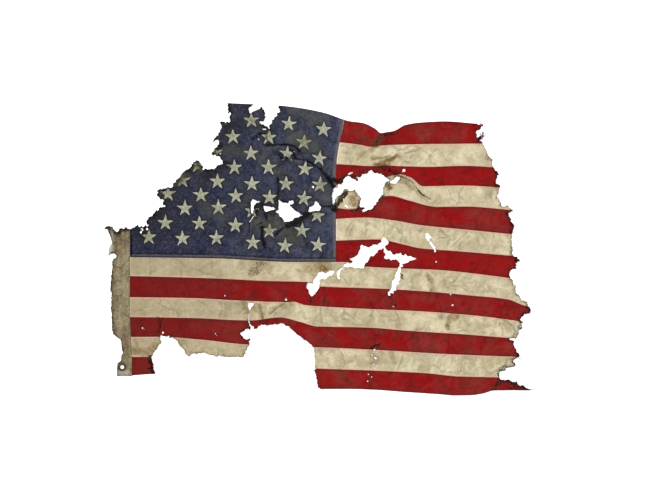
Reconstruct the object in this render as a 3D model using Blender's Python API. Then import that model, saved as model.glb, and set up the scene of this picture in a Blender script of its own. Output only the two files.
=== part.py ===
"""A tattered flag, lying face up on the surface it rests on. Metres, +Z up.

The flag is sewn from a canvas heading, a blue canton and thirteen stripes. Each of them is a thin sheet of
its own, cut to what the fire and the tears have left of it, and each follows the same low folds. Where a
tear has parted a stripe, what is left of it is two or three sheets. One brass ring is left in the heading.

Places on the flag are written as pixels of the photograph, which looks straight down on it, with x to the
right and y downwards. PIXEL turns them into metres. The origin is the middle of what is left, on the
surface. The hoist is on the -X side and the first stripe on the +Y side.
"""

import math
from collections import namedtuple

import bmesh
import bpy
import numpy as np
from mathutils import Matrix, Vector, geometry, noise

# Driving sizes of the whole flag, three by five feet
HOIST = 0.914
STRIPES = 13
STRIPE_PIXELS = 20.09
PIXEL = HOIST / STRIPES / STRIPE_PIXELS
MIDDLE = (318.0, 249.25)

# Cloth
BUNTING_THICK = 0.0015
CANVAS_THICK = 0.0016
SEAM_GAP = 0.0003
TORN_STEP = 0.015
SEAM_STEP = 0.034
MESH_STEP = 0.030
EDGE_CLEAR = 0.011
SMALLEST_PIECE = 0.0004

# Eyelet ring: two flanges, a barrel between them, and the canvas held in the groove
RING_AT = (122.3, 367.0)
RING_RADIUS = 0.0135
BORE_RADIUS = 0.0064
BARREL_RADIUS = 0.0077
CANVAS_HOLE_RADIUS = 0.0081
FLANGE_THICK = 0.0008
RIM_THICK = 0.0012
FLAT_RADIUS = 0.0116
RING_STEPS = 24
CANVAS_LIFT = FLANGE_THICK + SEAM_GAP
RING_TOP = CANVAS_LIFT + CANVAS_THICK + SEAM_GAP + RIM_THICK
LIFT_FLAT = 0.018
LIFT_REACH = 0.045

# Past every edge of what is left, in pixels
FAR_LEFT, FAR_RIGHT, FAR_TOP, FAR_BOTTOM = 96.0, 540.0, 94.0, 404.0

# Where the sewn seams run: the seam under each stripe, as (x, y) where its height changes.
# The seam under stripe 7 is also the lower edge of the canton.
SEAMS = {
    1: ((330, 141), (360, 145), (372, 148), (385, 145), (430, 144), (490, 143.6)),
    2: ((330, 164.5), (370, 167), (430, 167), (462, 166), (500, 167.8)),
    3: ((330, 186), (360, 184), (383, 178), (400, 174.5), (411, 178), (423, 186.3), (460, 185.5), (505, 187.8)),
    4: ((330, 207.2), (352, 209.5), (374, 199), (390, 196), (410, 201), (437, 207), (465, 206.7), (515, 210.5)),
    5: ((330, 219.3), (365, 217.5), (395, 220.5), (420, 225), (465, 229.5), (520, 235)),
    6: ((330, 241), (378, 239.5), (400, 243.7), (420, 248.3), (460, 251.5), (520, 256.6)),
    7: ((120, 257), (220, 258.5), (260, 260.7), (290, 262), (345, 262), (365, 266.5), (400, 268.3), (440, 270),
        (470, 273), (515, 278.7)),
    8: ((120, 275.8), (215, 278.5), (265, 281), (305, 282), (320, 286.5), (375, 288.5), (425, 291.5),
        (470, 295.5), (508, 299.5), (521, 304.5), (532, 308)),
    9: ((120, 297), (190, 298), (240, 300.5), (285, 302), (294, 301.7), (305, 305), (350, 308), (425, 311.5),
        (475, 315.5), (530, 322.5)),
    10: ((120, 317), (190, 318), (250, 320.5), (280, 317.5), (300, 322), (318, 326.5), (365, 327.5), (410, 331),
         (465, 334.5), (525, 339.5)),
    11: ((120, 337), (160, 336.8), (200, 339.5), (248, 344.5), (314, 347), (370, 349.5), (440, 353.6),
         (490, 355.8), (525, 357)),
    12: ((120, 357), (152, 357), (315, 368.5), (370, 370.5), (425, 373.2), (460, 376.5), (525, 378)),
}

# The sewn edges that run up and down: (x, y) from the top
CANTON_EDGE = ((342, 94), (338.5, 140), (336.5, 165), (336, 205), (336, 270))
HEADING_EDGE = ((130, 94), (130, 316), (131, 337), (132, 357), (132, 404))

# The outer edge, anticlockwise from the top of the canton. Ragged is the depth of the small bites, in metres.
# A burnt or torn stretch is straight between its points, and a hemmed one is a smooth curve.
Stretch = namedtuple("Stretch", "name ragged hemmed points")

HOIST_SIDE = (
    Stretch("gap in the top edge", 0.002, False,
            ((278.5, 105.5), (280, 112), (271.5, 120), (268, 125.5), (271, 131), (260.5, 122.5), (265.5, 115.5),
             (261.5, 105.5), (257, 110), (251.5, 113), (248.5, 109.5), (252.5, 104.6))),
    Stretch("top scrap", 0.0, False, ((248, 104), (227.5, 103))),
    Stretch("burnt corner", 0.003, False,
            ((229.5, 121), (219.5, 122), (221, 130), (212.5, 142.5), (219, 140.5), (218, 145), (211.5, 154),
             (221, 158), (223.5, 163))),
    Stretch("burnt diagonal", 0.004, False,
            ((213, 168.5), (205, 169.5), (200, 162), (193.5, 163), (190, 169.5), (180, 176), (171, 186.5),
             (158.5, 192), (158.5, 197), (164, 200), (164, 206), (154.5, 212.5), (147, 221), (148, 227),
             (143, 227.5), (141.5, 233), (138, 226.5))),
    Stretch("burnt end of the heading", 0.001, False,
            ((130, 229), (121, 228.5), (118.5, 234), (115, 230.5), (109.5, 226.5), (104.5, 228.5), (109, 232),
             (112, 243), (108.5, 252), (107, 258), (113.5, 253.5), (116.5, 256), (113, 260))),
    Stretch("hoist edge", 0.002, False,
            ((111.5, 275), (110.5, 288), (111.5, 303), (112.5, 330), (120.5, 340), (123, 352), (120.5, 361))),
    Stretch("foot of the heading", 0.0, False, ((117, 365), (117, 371), (120, 377))),
)
FOOT = (
    Stretch("stripe 13 at the hoist", 0.002, False, ((132, 375.5), (154.5, 374), (153, 363), (151.5, 357))),
    Stretch("stripe 12 at the hoist", 0.003, False, ((155, 351), (158.5, 349), (162, 343.5), (160, 336))),
    Stretch("bay at the hoist", 0.002, False,
            ((169, 336), (174, 338), (181, 346.5), (189, 356), (197, 353), (210, 355), (230, 356.5), (243, 357),
             (248, 348), (250, 339))),
    Stretch("round notch", 0.001, False, ((243, 338), (240, 333), (246, 328.5), (250, 329.3))),
    Stretch("crack up to the seam", 0.0, False,
            ((251.2, 327), (248.6, 324), (247.6, 319.6), (249.2, 319.6), (250.2, 323.8), (252.6, 327.2))),
    Stretch("bay in the middle", 0.003, False,
            ((252, 330), (260, 325.5), (270, 325.5), (281.5, 322.5), (290, 327), (300, 336.5), (313.5, 347.5),
             (314.5, 360), (315.5, 377), (319.5, 388))),
    Stretch("foot hem", 0.0, True,
            ((326, 389), (350, 389), (375, 389.8), (405, 392), (440, 394.3), (455, 395.5), (470, 395.3))),
)
TOP = Stretch("top hem", 0.0, True,
              ((445, 121.3), (420, 122.5), (405, 125), (394, 131.5), (381, 134), (375, 128.5), (363, 123),
               (349, 121), (325, 113), (297, 107.5)))

# The torn fly end of each stripe, from its upper seam to its lower one
FLY_RAGGED = 0.003
FLY_ENDS = {
    1: ((475, 123.5), (480, 125), (481, 127.5), (476.5, 131), (477.5, 137), (479, 141), (483, 143.5)),
    2: ((487, 151.5), (490, 159), (494, 168)),
    3: ((498.5, 172), (495.5, 181), (499.5, 188)),
    4: ((499, 194), (499, 201), (504, 205.5), (508, 206)),
    5: ((512, 211), (509, 214), (511.5, 220), (515, 226.5), (511, 234)),
    6: ((512.5, 245), (512, 255.7)),
    7: ((516.5, 256.5), (520, 260), (516.5, 264.5), (511, 269.5), (510, 278)),
    8: ((514, 284.5), (516, 287), (514.5, 290), (519.5, 296.5), (527, 302)),
    9: ((527.5, 306.5), (531.5, 310.3), (525, 315), (519.5, 319.5)),
    10: ((519, 322), (521.5, 328.5), (519.5, 333), (515.5, 338.5)),
    11: ((510, 339.5), (514, 341), (514.5, 346), (518, 355)),
    12: ((517, 357.5), (513, 360), (517.5, 364), (507, 368), (502.5, 370.5), (499, 376)),
    13: ((500.5, 380), (509, 380), (520, 384.5), (531, 389.5), (494, 390.5), (483, 393.5)),
}

# Burnt and torn holes, round their rims
Hole = namedtuple("Hole", "name ragged points")
HOLES = (
    Hole("big gap by the canton", 0.002,
         ((337, 184), (344.5, 179), (350, 177.5), (357.5, 180), (361, 175.5), (371, 171), (381, 174.5),
          (389.5, 180), (384.5, 187), (383, 196), (374, 206.5), (363, 212.5), (364.5, 208), (360, 204),
          (361, 197), (354.5, 190), (344, 190), (337, 197), (333, 205), (332, 197), (334, 188.5))),
    Hole("lobe of the long tear", 0.002,
         ((308.5, 283), (307, 288), (311.5, 298), (316, 294.5), (319.5, 281), (325, 279), (334.5, 273),
          (334, 270.5), (322, 271.5), (314, 279))),
    Hole("long tear", 0.002,
         ((336.5, 270), (338.5, 277.5), (344, 268), (354, 268), (364.5, 270), (363.5, 265), (371, 256.5),
          (380, 248.5), (383.5, 250.5), (384, 258.5), (392.5, 260), (399.5, 263), (395.5, 275), (391, 285.5),
          (388.5, 293), (394.5, 289), (398.5, 283), (400.5, 273), (402.5, 264), (409, 261), (417, 258.5),
          (408, 256), (394, 254), (387, 250), (388, 241.5), (384.5, 237), (378, 244), (362, 246.5),
          (358, 254.5), (351, 259), (344, 265))),
    Hole("tear in stripes 6 and 7", 0.001,
         ((425, 233), (430.5, 237), (432, 243.5), (435.5, 250.5), (435, 254), (430.5, 243.5), (427, 240))),
    Hole("hole in stripe 10", 0.001, ((248.5, 303), (255, 303.5), (250, 309.5), (247.5, 305.5))),
    Hole("first hole in the canton", 0.001,
         ((252.5, 199.5), (250.5, 208), (253, 214.5), (254, 206), (260, 201.5))),
    Hole("second hole in the canton", 0.001, ((263, 206), (273, 207.5), (276, 209.5), (265, 212))),
    Hole("third hole in the canton", 0.002,
         ((279, 200), (287.5, 203.5), (294, 203), (289.5, 206.5), (302, 215.5), (288, 221.5), (284, 221),
          (276.5, 212))),
    Hole("fourth hole in the canton", 0.001, ((316, 200.5), (321, 207), (320, 210.5), (308, 212), (309.5, 208))),
    Hole("slot in stripe 4", 0.001, ((390, 181.5), (396, 177.5), (401, 178), (396, 183))),
)

# Round burns: the middle in pixels and the radius in metres
Spot = namedtuple("Spot", "x y radius")
SPOTS = (Spot(404, 170.8, 0.006), Spot(163, 332, 0.005), Spot(436, 262, 0.004), Spot(368, 376.5, 0.005))
SPOT_STEPS = 6

# Folds: a low ridge of cloth from one place to another, with its height and half its width in metres
Fold = namedtuple("Fold", "name start end height width")
FOLDS = (
    Fold("gather in the top edge", (386, 131), (378, 150), 0.011, 0.026),
    Fold("gather running on", (378, 150), (372, 166), 0.006, 0.024),
    Fold("fold over stripe 3", (378, 163), (413, 179), 0.009, 0.022),
    Fold("fold over stripe 4", (413, 179), (432, 199.5), 0.008, 0.019),
    Fold("pleat in stripe 2", (375, 160), (410, 151), 0.005, 0.018),
    Fold("top canton fold", (272, 146.5), (300, 152), 0.006, 0.020),
    Fold("side canton fold", (300, 158), (334, 188), 0.007, 0.022),
    Fold("upright canton fold", (277.5, 176), (277.5, 200), 0.005, 0.018),
    Fold("lower canton fold", (264, 214), (268, 248), 0.006, 0.020),
    Fold("slanting canton fold", (275, 236), (305, 214), 0.006, 0.022),
    Fold("bowed crease in stripe 6", (349, 222), (346, 240), 0.004, 0.016),
    Fold("upright crease by the tear", (304, 288), (318, 344), 0.007, 0.024),
    Fold("crease in stripe 10", (263, 303), (263, 320), 0.005, 0.016),
    Fold("slanting crease in stripe 10", (270, 311), (288, 302), 0.005, 0.016),
    Fold("long swell at the hoist", (150, 248), (232, 266), 0.004, 0.040),
    Fold("swell in stripes 10 and 11", (176, 305), (190, 336), 0.004, 0.032),
    Fold("swell at the fly", (468, 142), (486, 192), 0.005, 0.036),
    Fold("swell across the lower stripes", (440, 318), (455, 382), 0.005, 0.036),
    Fold("swell below the long tear", (372, 292), (360, 346), 0.004, 0.036),
    Fold("lifted lip of the big gap", (357, 180), (381, 175), 0.005, 0.016),
    Fold("lifted lip of the long tear", (366, 262), (380, 251), 0.006, 0.015),
    Fold("lifted corner", (514, 323), (519, 327), 0.007, 0.014),
    Fold("lifted scrap at the top", (262, 106), (262, 112), 0.006, 0.014),
    Fold("lifted tip of the heading", (104.5, 228.5), (107, 231), 0.006, 0.014),
    Fold("curled edge at the canton", (172, 187), (196, 165), 0.005, 0.014),
    Fold("lifted fly end of stripe 9", (527, 307), (531.5, 310.3), 0.006, 0.014),
    Fold("lifted tail", (520, 387), (531, 389.5), 0.004, 0.016),
    Fold("lifted tip of stripe 12", (188, 350), (189, 356), 0.005, 0.014),
)
FLAT_BELOW = 0.0006

# Colour, roughness and metallic value of each material
FINISHES = {
    "red bunting": ((0.24, 0.012, 0.012, 1.0), 0.9, 0.0),
    "white bunting": ((0.60, 0.53, 0.36, 1.0), 0.9, 0.0),
    "blue bunting": ((0.030, 0.035, 0.085, 1.0), 0.9, 0.0),
    "canvas": ((0.38, 0.30, 0.19, 1.0), 0.95, 0.0),
    "old brass": ((0.13, 0.09, 0.05, 1.0), 0.5, 1.0),
}


def clear_scene():
    """Remove what the file opened with."""
    for thing in list(bpy.data.objects):
        bpy.data.objects.remove(thing, do_unlink=True)


def finish(name):
    """Return the material of that name, made on its first use."""
    material = bpy.data.materials.get(name)
    if material:
        return material
    colour, roughness, metallic = FINISHES[name]
    material = bpy.data.materials.new(name)
    material.use_nodes = True
    material.diffuse_color = colour
    shader = material.node_tree.nodes["Principled BSDF"]
    shader.inputs["Base Color"].default_value = colour
    shader.inputs["Roughness"].default_value = roughness
    shader.inputs["Metallic"].default_value = metallic
    return material


def place(points):
    """Turn pixels of the photograph into metres from the middle of the flag."""
    spots = np.asarray(points, dtype=float).reshape(-1, 2)
    return (spots - MIDDLE) * (PIXEL, -PIXEL)


def bend(knots, at):
    """Read a smooth curve through the knots (a, b) at each value of a, as b, with no swing past a knot."""
    a, b = np.asarray(knots, dtype=float).T
    before, after = np.diff(b)[:-1] / np.diff(a)[:-1], np.diff(b)[1:] / np.diff(a)[1:]
    one_way = before * after > 0
    mean = 2 * before * after / np.where(one_way, before + after, 1.0)
    slope = np.concatenate(([0.0], np.where(one_way, mean, 0.0), [0.0]))
    slope[[0, -1]] = (b[1] - b[0]) / (a[1] - a[0]), (b[-1] - b[-2]) / (a[-1] - a[-2])
    row = np.clip(np.searchsorted(a, at) - 1, 0, len(a) - 2)
    span = a[row + 1] - a[row]
    t = np.clip((at - a[row]) / span, 0.0, 1.0)
    rise = b[row + 1] - b[row]
    ease = b[row] + rise * t * t * (3 - 2 * t)
    return ease + span * t * (1 - t) * ((1 - t) * slope[row] - t * slope[row + 1])


def smooth_curve(points, step):
    """Carry a hemmed edge through its points as one curve, with a new point every step."""
    lengths = np.hypot(*np.diff(points, axis=0).T)
    along = np.concatenate(([0.0], np.cumsum(lengths)))
    stations = np.linspace(0.0, along[-1], max(2, round(along[-1] / step)) + 1)
    columns = [bend(np.column_stack((along, points[:, axis])), stations) for axis in (0, 1)]
    return np.column_stack(columns)


def fray(start, end, ragged):
    """Divide one straight run of a torn edge, each new point bitten into the cloth on the left."""
    run = end - start
    length = math.hypot(*run)
    count = max(1, round(length / TORN_STEP))
    points = [start]
    for number in range(1, count):
        point = start + run * (number / count)
        bite = ragged * abs(noise.noise(Vector((*point, 0.0)) * 90.0)) * 2.0
        points.append(point + np.array((-run[1], run[0])) / length * min(bite, ragged))
    return points


def fly_edge():
    """Join the fly ends of all stripes, from the lowest up to the top hem."""
    corners = []
    for stripe in range(STRIPES, 0, -1):
        corners += reversed(FLY_ENDS[stripe])
    return Stretch("fly", FLY_RAGGED, False, tuple(corners))


def outer_edge():
    """Return the whole outer edge, anticlockwise seen from above."""
    stretches = (*HOIST_SIDE, *FOOT, fly_edge(), TOP)
    runs = [place(stretch.points) for stretch in stretches]
    points = []
    for number, (stretch, run) in enumerate(zip(stretches, runs)):
        following = runs[(number + 1) % len(runs)][0]
        if stretch.hemmed:
            points += list(smooth_curve(run, SEAM_STEP))[:-1]
            points += fray(run[-1], following, 0.0)
            continue
        for start, end in zip(run, [*run[1:], following]):
            points += fray(start, end, stretch.ragged)
    return np.array(points)


def hole_rims():
    """Return the rims of all holes, anticlockwise, the eyelet's hole in the canvas left out."""
    rims = []
    for hole in HOLES:
        run = place(hole.points)
        area = np.cross(run, np.roll(run, -1, axis=0)).sum()
        if area < 0:
            run = run[::-1]
        points = []
        for start, end in zip(run, np.roll(run, -1, axis=0)):
            points += fray(start, end, -hole.ragged * 0.5)
        rims.append(np.array(points))
    for spot in SPOTS:
        rims.append(place((spot.x, spot.y)) + circle(spot.radius, SPOT_STEPS))
    return rims


def circle(radius, steps):
    """Return points round a circle about zero, anticlockwise."""
    turn = np.arange(steps) * (2 * math.pi / steps)
    return np.column_stack((np.cos(turn), np.sin(turn))) * radius


def fold_height(points):
    """Return how far the cloth is lifted off the surface at each point, zero where it lies flat.

    A fold lifts it by its height times exp(-(d / width) squared), where d is the distance to its ridge.
    The canvas is also lifted on to the lower flange of the ring.
    """
    lift = np.zeros(len(points))
    for fold in FOLDS:
        start, end = place((fold.start, fold.end))
        run = end - start
        share = np.clip((points - start) @ run / (run @ run), 0.0, 1.0)
        away = np.hypot(*(points - start - share[:, None] * run).T)
        lift = np.maximum(lift, fold.height * np.exp(-((away / fold.width) ** 2)))
    lift = np.maximum(lift - FLAT_BELOW, 0.0)
    from_ring = np.hypot(*(points - place(RING_AT)).T)
    eased = np.clip((LIFT_REACH - from_ring) / (LIFT_REACH - LIFT_FLAT), 0.0, 1.0)
    return np.maximum(lift, CANVAS_LIFT * eased * eased * (3 - 2 * eased))


def upright(knots, side):
    """Return a sewn edge that runs up and down, from the top, moved by side times half a seam gap."""
    line = place([(knots[0][0], FAR_TOP), *knots[1:-1], (knots[-1][0], FAR_BOTTOM)])
    heights = np.arange(line[0, 1], line[-1, 1], -SEAM_STEP)
    across = np.interp(-heights, -line[:, 1], line[:, 0]) + side * SEAM_GAP / 2
    return np.column_stack((across, heights))


def level(seam, left, right, side):
    """Return a sewn seam from left to right (metres), moved up by side times half a seam gap."""
    across = np.linspace(left, right, max(2, round((right - left) / SEAM_STEP)) + 1)
    if seam == 0:
        heights = np.full(len(across), place((0, FAR_TOP))[0, 1])
    elif seam == STRIPES:
        heights = np.full(len(across), place((0, FAR_BOTTOM))[0, 1])
    else:
        knots = place(SEAMS[seam])
        heights = bend(knots, across) + side * SEAM_GAP / 2
    return np.column_stack((across, heights))


def meet(edge, seam, side):
    """Return where an upright sewn edge meets a seam, so that both pieces turn the same corner."""
    rows = edge[:, 1]
    heights = level(seam, edge[:, 0].min() - SEAM_GAP, edge[:, 0].max() + SEAM_GAP, side)[:, 1].mean()
    return np.interp(-heights, -rows, edge[:, 0])


def stripe_band(stripe):
    """Return the whole cut piece of a stripe, before fire and tears, anticlockwise."""
    hoist_edge = upright(CANTON_EDGE if stripe <= 7 else HEADING_EDGE, 1)
    right = place((FAR_RIGHT, 0))[0, 0]
    upper = level(stripe - 1, meet(hoist_edge, stripe - 1, -1), right, -1)
    lower = level(stripe, meet(hoist_edge, stripe, 1), right, 1)
    inside = (hoist_edge[:, 1] < upper[0, 1] - EDGE_CLEAR) & (hoist_edge[:, 1] > lower[0, 1] + EDGE_CLEAR)
    return np.vstack((lower, upper[::-1], hoist_edge[inside]))


def canton_band():
    """Return the whole canton, anticlockwise."""
    hoist_edge = upright(HEADING_EDGE, 1)
    fly_side = upright(CANTON_EDGE, -1)
    lower = level(7, meet(hoist_edge, 7, 1), meet(fly_side, 7, 1), 1)
    above = fly_side[fly_side[:, 1] > lower[-1, 1] + EDGE_CLEAR][::-1]
    beside = hoist_edge[hoist_edge[:, 1] > lower[0, 1] + EDGE_CLEAR]
    return np.vstack((lower, above, beside))


def heading_band():
    """Return the whole heading, anticlockwise."""
    fly_side = upright(HEADING_EDGE, -1)
    far = place(((FAR_LEFT, FAR_TOP), (FAR_LEFT, FAR_BOTTOM)))
    return np.vstack((far, fly_side[::-1]))


def inner_points(rings):
    """Return a staggered net of points, clear of every edge, to carry the folds."""
    low = rings[0].min(axis=0)
    high = rings[0].max(axis=0)
    rise = MESH_STEP * math.sqrt(3) / 2
    rows = np.arange(low[1], high[1], rise)
    columns = np.arange(low[0], high[0] + MESH_STEP, MESH_STEP)
    grid = np.array([(x + MESH_STEP / 2 * (row % 2), y) for row, y in enumerate(rows) for x in columns])
    ridges = [place((fold.start, fold.end)) for fold in FOLDS if fold.width < MESH_STEP]
    tops = [start + (end - start) * share for start, end in ridges for share in (0.0, 0.35, 0.7, 1.0)]
    about_ring = place(RING_AT) + circle(LIFT_FLAT * 0.9, 10)
    net = np.vstack((grid, tops, about_ring))
    clear = np.full(len(net), EDGE_CLEAR * 2)
    for ring in rings:
        run = np.roll(ring, -1, axis=0) - ring
        offset = net[:, None, :] - ring[None]
        share = np.clip((offset * run).sum(axis=2) / (run * run).sum(axis=1), 0.0, 1.0)
        away = np.linalg.norm(offset - share[..., None] * run, axis=2).min(axis=1)
        clear = np.minimum(clear, away)
    return net[clear > EDGE_CLEAR]


def what_is_left(band, outer, holes):
    """Cut a piece by the outer edge and the holes, and return its parts, each as points and triangles."""
    near = [rim for rim in holes if overlaps(rim, band)]
    rings = [band, outer, *near]
    points = np.vstack((*rings, inner_points([band, outer, *near])))
    faces = []
    first = 0
    for ring in rings:
        faces.append(list(range(first, first + len(ring))))
        first += len(ring)
    spots = [Vector(point * 1000.0) for point in points]
    spots, _, triangles, _, _, sources = geometry.delaunay_2d_cdt(spots, [], faces, 0, 0.001)
    kept = [tri for tri, source in zip(triangles, sources) if sorted(source) == [0, 1]]
    flat = np.array([spot[:] for spot in spots]) / 1000.0
    return parted(flat, kept)


def overlaps(rim, band):
    """Say whether the box of a rim reaches into the box of a band."""
    return bool(np.all(rim.min(axis=0) < band.max(axis=0)) and np.all(rim.max(axis=0) > band.min(axis=0)))


def parted(points, triangles):
    """Split triangles into parts that share no edge, from left to right, without the smallest scraps."""
    owners = {}
    for number, tri in enumerate(triangles):
        for a, b in zip(tri, tri[1:] + tri[:1]):
            owners.setdefault(frozenset((a, b)), []).append(number)
    beside = {number: [] for number in range(len(triangles))}
    for sharers in owners.values():
        if len(sharers) == 2:
            beside[sharers[0]].append(sharers[1])
            beside[sharers[1]].append(sharers[0])
    parts = []
    waiting = set(beside)
    while waiting:
        heap = [waiting.pop()]
        part = []
        while heap:
            number = heap.pop()
            part.append(triangles[number])
            fresh = [other for other in beside[number] if other in waiting]
            waiting.difference_update(fresh)
            heap += fresh
        corners = points[np.array(part)]
        area = abs(np.cross(corners[:, 1] - corners[:, 0], corners[:, 2] - corners[:, 0])).sum() / 2
        if area > SMALLEST_PIECE:
            parts.append((corners[..., 0].mean(), part))
    return [(points, part) for _, part in sorted(parts, key=lambda pair: pair[0])]


def sheet(name, points, triangles, thick, material):
    """Make a thin closed sheet: its underside on the folds, its upper face a thickness above."""
    used = sorted({corner for tri in triangles for corner in tri})
    row = {corner: number for number, corner in enumerate(used)}
    flat = points[used]
    lift = fold_height(flat)
    mesh = bpy.data.meshes.new(name)
    cloth = bmesh.new()
    lower = [cloth.verts.new((x, y, z)) for (x, y), z in zip(flat, lift)]
    upper = [cloth.verts.new((x, y, z + thick)) for (x, y), z in zip(flat, lift)]
    edges = set()
    for tri in triangles:
        a, b, c = (row[corner] for corner in tri)
        cloth.faces.new((upper[a], upper[b], upper[c]))
        cloth.faces.new((lower[c], lower[b], lower[a]))
        edges.update(((a, b), (b, c), (c, a)))
    for a, b in sorted(edges):
        if (b, a) not in edges:
            cloth.faces.new((upper[b], upper[a], lower[a], lower[b]))
    cloth.to_mesh(mesh)
    cloth.free()
    return link(name, mesh, material)


def link(name, mesh, material):
    """Put a mesh into the scene as an object."""
    thing = bpy.data.objects.new(name, mesh)
    mesh.materials.append(finish(material))
    bpy.context.scene.collection.objects.link(thing)
    return thing


def make_ring():
    """Turn the eyelet ring: one section, from the bore outwards, spun about the bore."""
    groove_low = FLANGE_THICK
    groove_high = RING_TOP - RIM_THICK
    section = (
        (BORE_RADIUS, 0.0), (RING_RADIUS - 0.0006, 0.0), (RING_RADIUS, groove_low),
        (BARREL_RADIUS, groove_low), (BARREL_RADIUS, groove_high), (RING_RADIUS, groove_high),
        (RING_RADIUS, groove_high + RIM_THICK * 0.5), (FLAT_RADIUS, RING_TOP),
        (BORE_RADIUS + 0.0014, RING_TOP), (BORE_RADIUS, RING_TOP - 0.0008),
    )
    mesh = bpy.data.meshes.new("grommet")
    ring = bmesh.new()
    corners = [ring.verts.new((radius, 0.0, height)) for radius, height in section]
    profile = [ring.edges.new((a, b)) for a, b in zip(corners, corners[1:] + corners[:1])]
    bmesh.ops.spin(ring, geom=corners + profile, cent=(0, 0, 0), axis=(0, 0, 1), angle=2 * math.pi,
                   steps=RING_STEPS, use_merge=True)
    bmesh.ops.remove_doubles(ring, verts=ring.verts, dist=0.00001)
    bmesh.ops.recalc_face_normals(ring, faces=ring.faces)
    x, y = place(RING_AT)[0]
    bmesh.ops.transform(ring, matrix=Matrix.Translation((x, y, 0.0)), verts=ring.verts)
    ring.to_mesh(mesh)
    ring.free()
    thing = link("grommet", mesh, "old brass")
    mesh.shade_smooth()
    mesh.set_sharp_from_angle(angle=math.radians(40))
    return thing


def make_cloth():
    """Make every sewn piece, and name the parts of a parted one with a letter from the hoist."""
    outer = outer_edge()
    holes = hole_rims()
    eyelet = place(RING_AT) + circle(CANVAS_HOLE_RADIUS, RING_STEPS // 2)
    pieces = [("heading", heading_band(), CANVAS_THICK, "canvas", [eyelet]),
              ("canton", canton_band(), BUNTING_THICK, "blue bunting", holes)]
    for stripe in range(1, STRIPES + 1):
        colour = "red" if stripe % 2 else "white"
        pieces.append((f"stripe_{stripe:02d}_{colour}", stripe_band(stripe), BUNTING_THICK,
                       f"{colour} bunting", holes))
    for name, band, thick, material, cuts in pieces:
        parts = what_is_left(band, outer, cuts)
        for number, (points, triangles) in enumerate(parts):
            letter = f"_{'abcdef'[number]}" if len(parts) > 1 else ""
            sheet(name + letter, points, triangles, thick, material)


def main():
    clear_scene()
    make_cloth()
    make_ring()


main()
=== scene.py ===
# %% [markdown]
# A tattered flag, seen from straight above.
#
# The real flag is a canvas heading, a blue canton and thirteen stripes, sewn together, then burnt, torn and
# dirtied. The solid model already holds each of those pieces as a plain thin sheet. Here each one is made
# again as fine cloth on the same folds, and gets its seams, stitches, stars, char and stains.
#
# A flat cloth is best made from a grid: every corner of the grid is worked out at once with numpy, and what
# the fire took is cut out of the grid along a line between its corners.

# %% Load the frame
import math

import bpy
import numpy as np
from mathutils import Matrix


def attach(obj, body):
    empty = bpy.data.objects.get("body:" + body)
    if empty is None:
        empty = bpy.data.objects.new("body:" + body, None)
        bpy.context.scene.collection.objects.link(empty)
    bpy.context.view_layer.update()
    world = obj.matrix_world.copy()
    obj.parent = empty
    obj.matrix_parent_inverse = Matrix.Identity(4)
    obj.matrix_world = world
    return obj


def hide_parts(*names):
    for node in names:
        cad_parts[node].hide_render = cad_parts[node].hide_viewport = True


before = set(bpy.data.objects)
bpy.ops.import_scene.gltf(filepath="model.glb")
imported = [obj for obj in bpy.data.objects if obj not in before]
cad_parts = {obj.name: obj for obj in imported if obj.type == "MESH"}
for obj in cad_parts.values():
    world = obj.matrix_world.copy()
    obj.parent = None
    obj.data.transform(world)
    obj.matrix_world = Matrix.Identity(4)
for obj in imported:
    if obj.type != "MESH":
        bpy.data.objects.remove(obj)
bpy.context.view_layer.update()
print("solid pieces:", len(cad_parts))

# %% [markdown]
# Places on the flag are written as pixels of the photograph, with x to the right and y downwards, because
# that is how they were read. One driving size turns them into metres: the hoist of a whole flag of three by
# five feet, which thirteen stripes share. The middle of what is left of the flag is the origin.

# %% Sizes and places
HOIST = 0.914
STRIPES = 13
STRIPE_WIDTH = HOIST / STRIPES
STRIPE_PIXELS = 20.09
PIXEL = STRIPE_WIDTH / STRIPE_PIXELS
MIDDLE = (318.0, 249.25)
BUNTING = 0.0011
CANVAS = 0.0016


def place(points):
    """Turn pixels (x, y) into metres: (pixel - middle) * size of a pixel, with y turned upwards."""
    return (np.asarray(points, dtype=float).reshape(-1, 2) - MIDDLE) * (PIXEL, -PIXEL)


def x_of(pixel):
    """Turn one figure across the photograph into metres to the right of the middle."""
    return (pixel - MIDDLE[0]) * PIXEL


def y_of(pixel):
    """Turn one figure down the photograph into metres above the middle."""
    return (MIDDLE[1] - pixel) * PIXEL


print("one pixel is", round(PIXEL * 1000, 3), "mm")

# %% [markdown]
# Three small tools do most of the work. The first draws a smooth line through a few knots. The second is
# noise, for everything that is uneven: random numbers on a lattice, blended smoothly between its corners.
# The third is the distance from every point of the cloth to an edge, which says where the cloth ends, where
# it is charred and where dirt has gathered.

# %% A smooth line through knots
def bend(knots, at):
    """Read a smooth line through knots (a, b) at each a: b + rise * (3tt - 2ttt) plus the slopes' share."""
    a, b = np.asarray(knots, dtype=float).T
    secant = np.diff(b) / np.diff(a)
    before, after = secant[:-1], secant[1:]
    one_way = before * after > 0
    mean = 2 * before * after / np.where(one_way, before + after, 1.0)
    slope = np.concatenate((secant[:1], np.where(one_way, mean, 0.0), secant[-1:]))
    row = np.clip(np.searchsorted(a, at) - 1, 0, len(a) - 2)
    span, rise = a[row + 1] - a[row], b[row + 1] - b[row]
    t = np.clip((at - a[row]) / span, 0.0, 1.0)
    slopes = (1 - t) * slope[row] - t * slope[row + 1]
    return b[row] + rise * t * t * (3 - 2 * t) + span * t * (1 - t) * slopes


def ease(value, low, high):
    """Rise smoothly from 0 at low to 1 at high: 3tt - 2ttt."""
    t = np.clip((value - low) / (high - low), 0.0, 1.0)
    return t * t * (3 - 2 * t)


def bell(away, width, power=2):
    """Fall from 1 at zero towards 0 with distance: exp(-(away / width) ** power)."""
    return np.exp(-((away / width) ** power))


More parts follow.
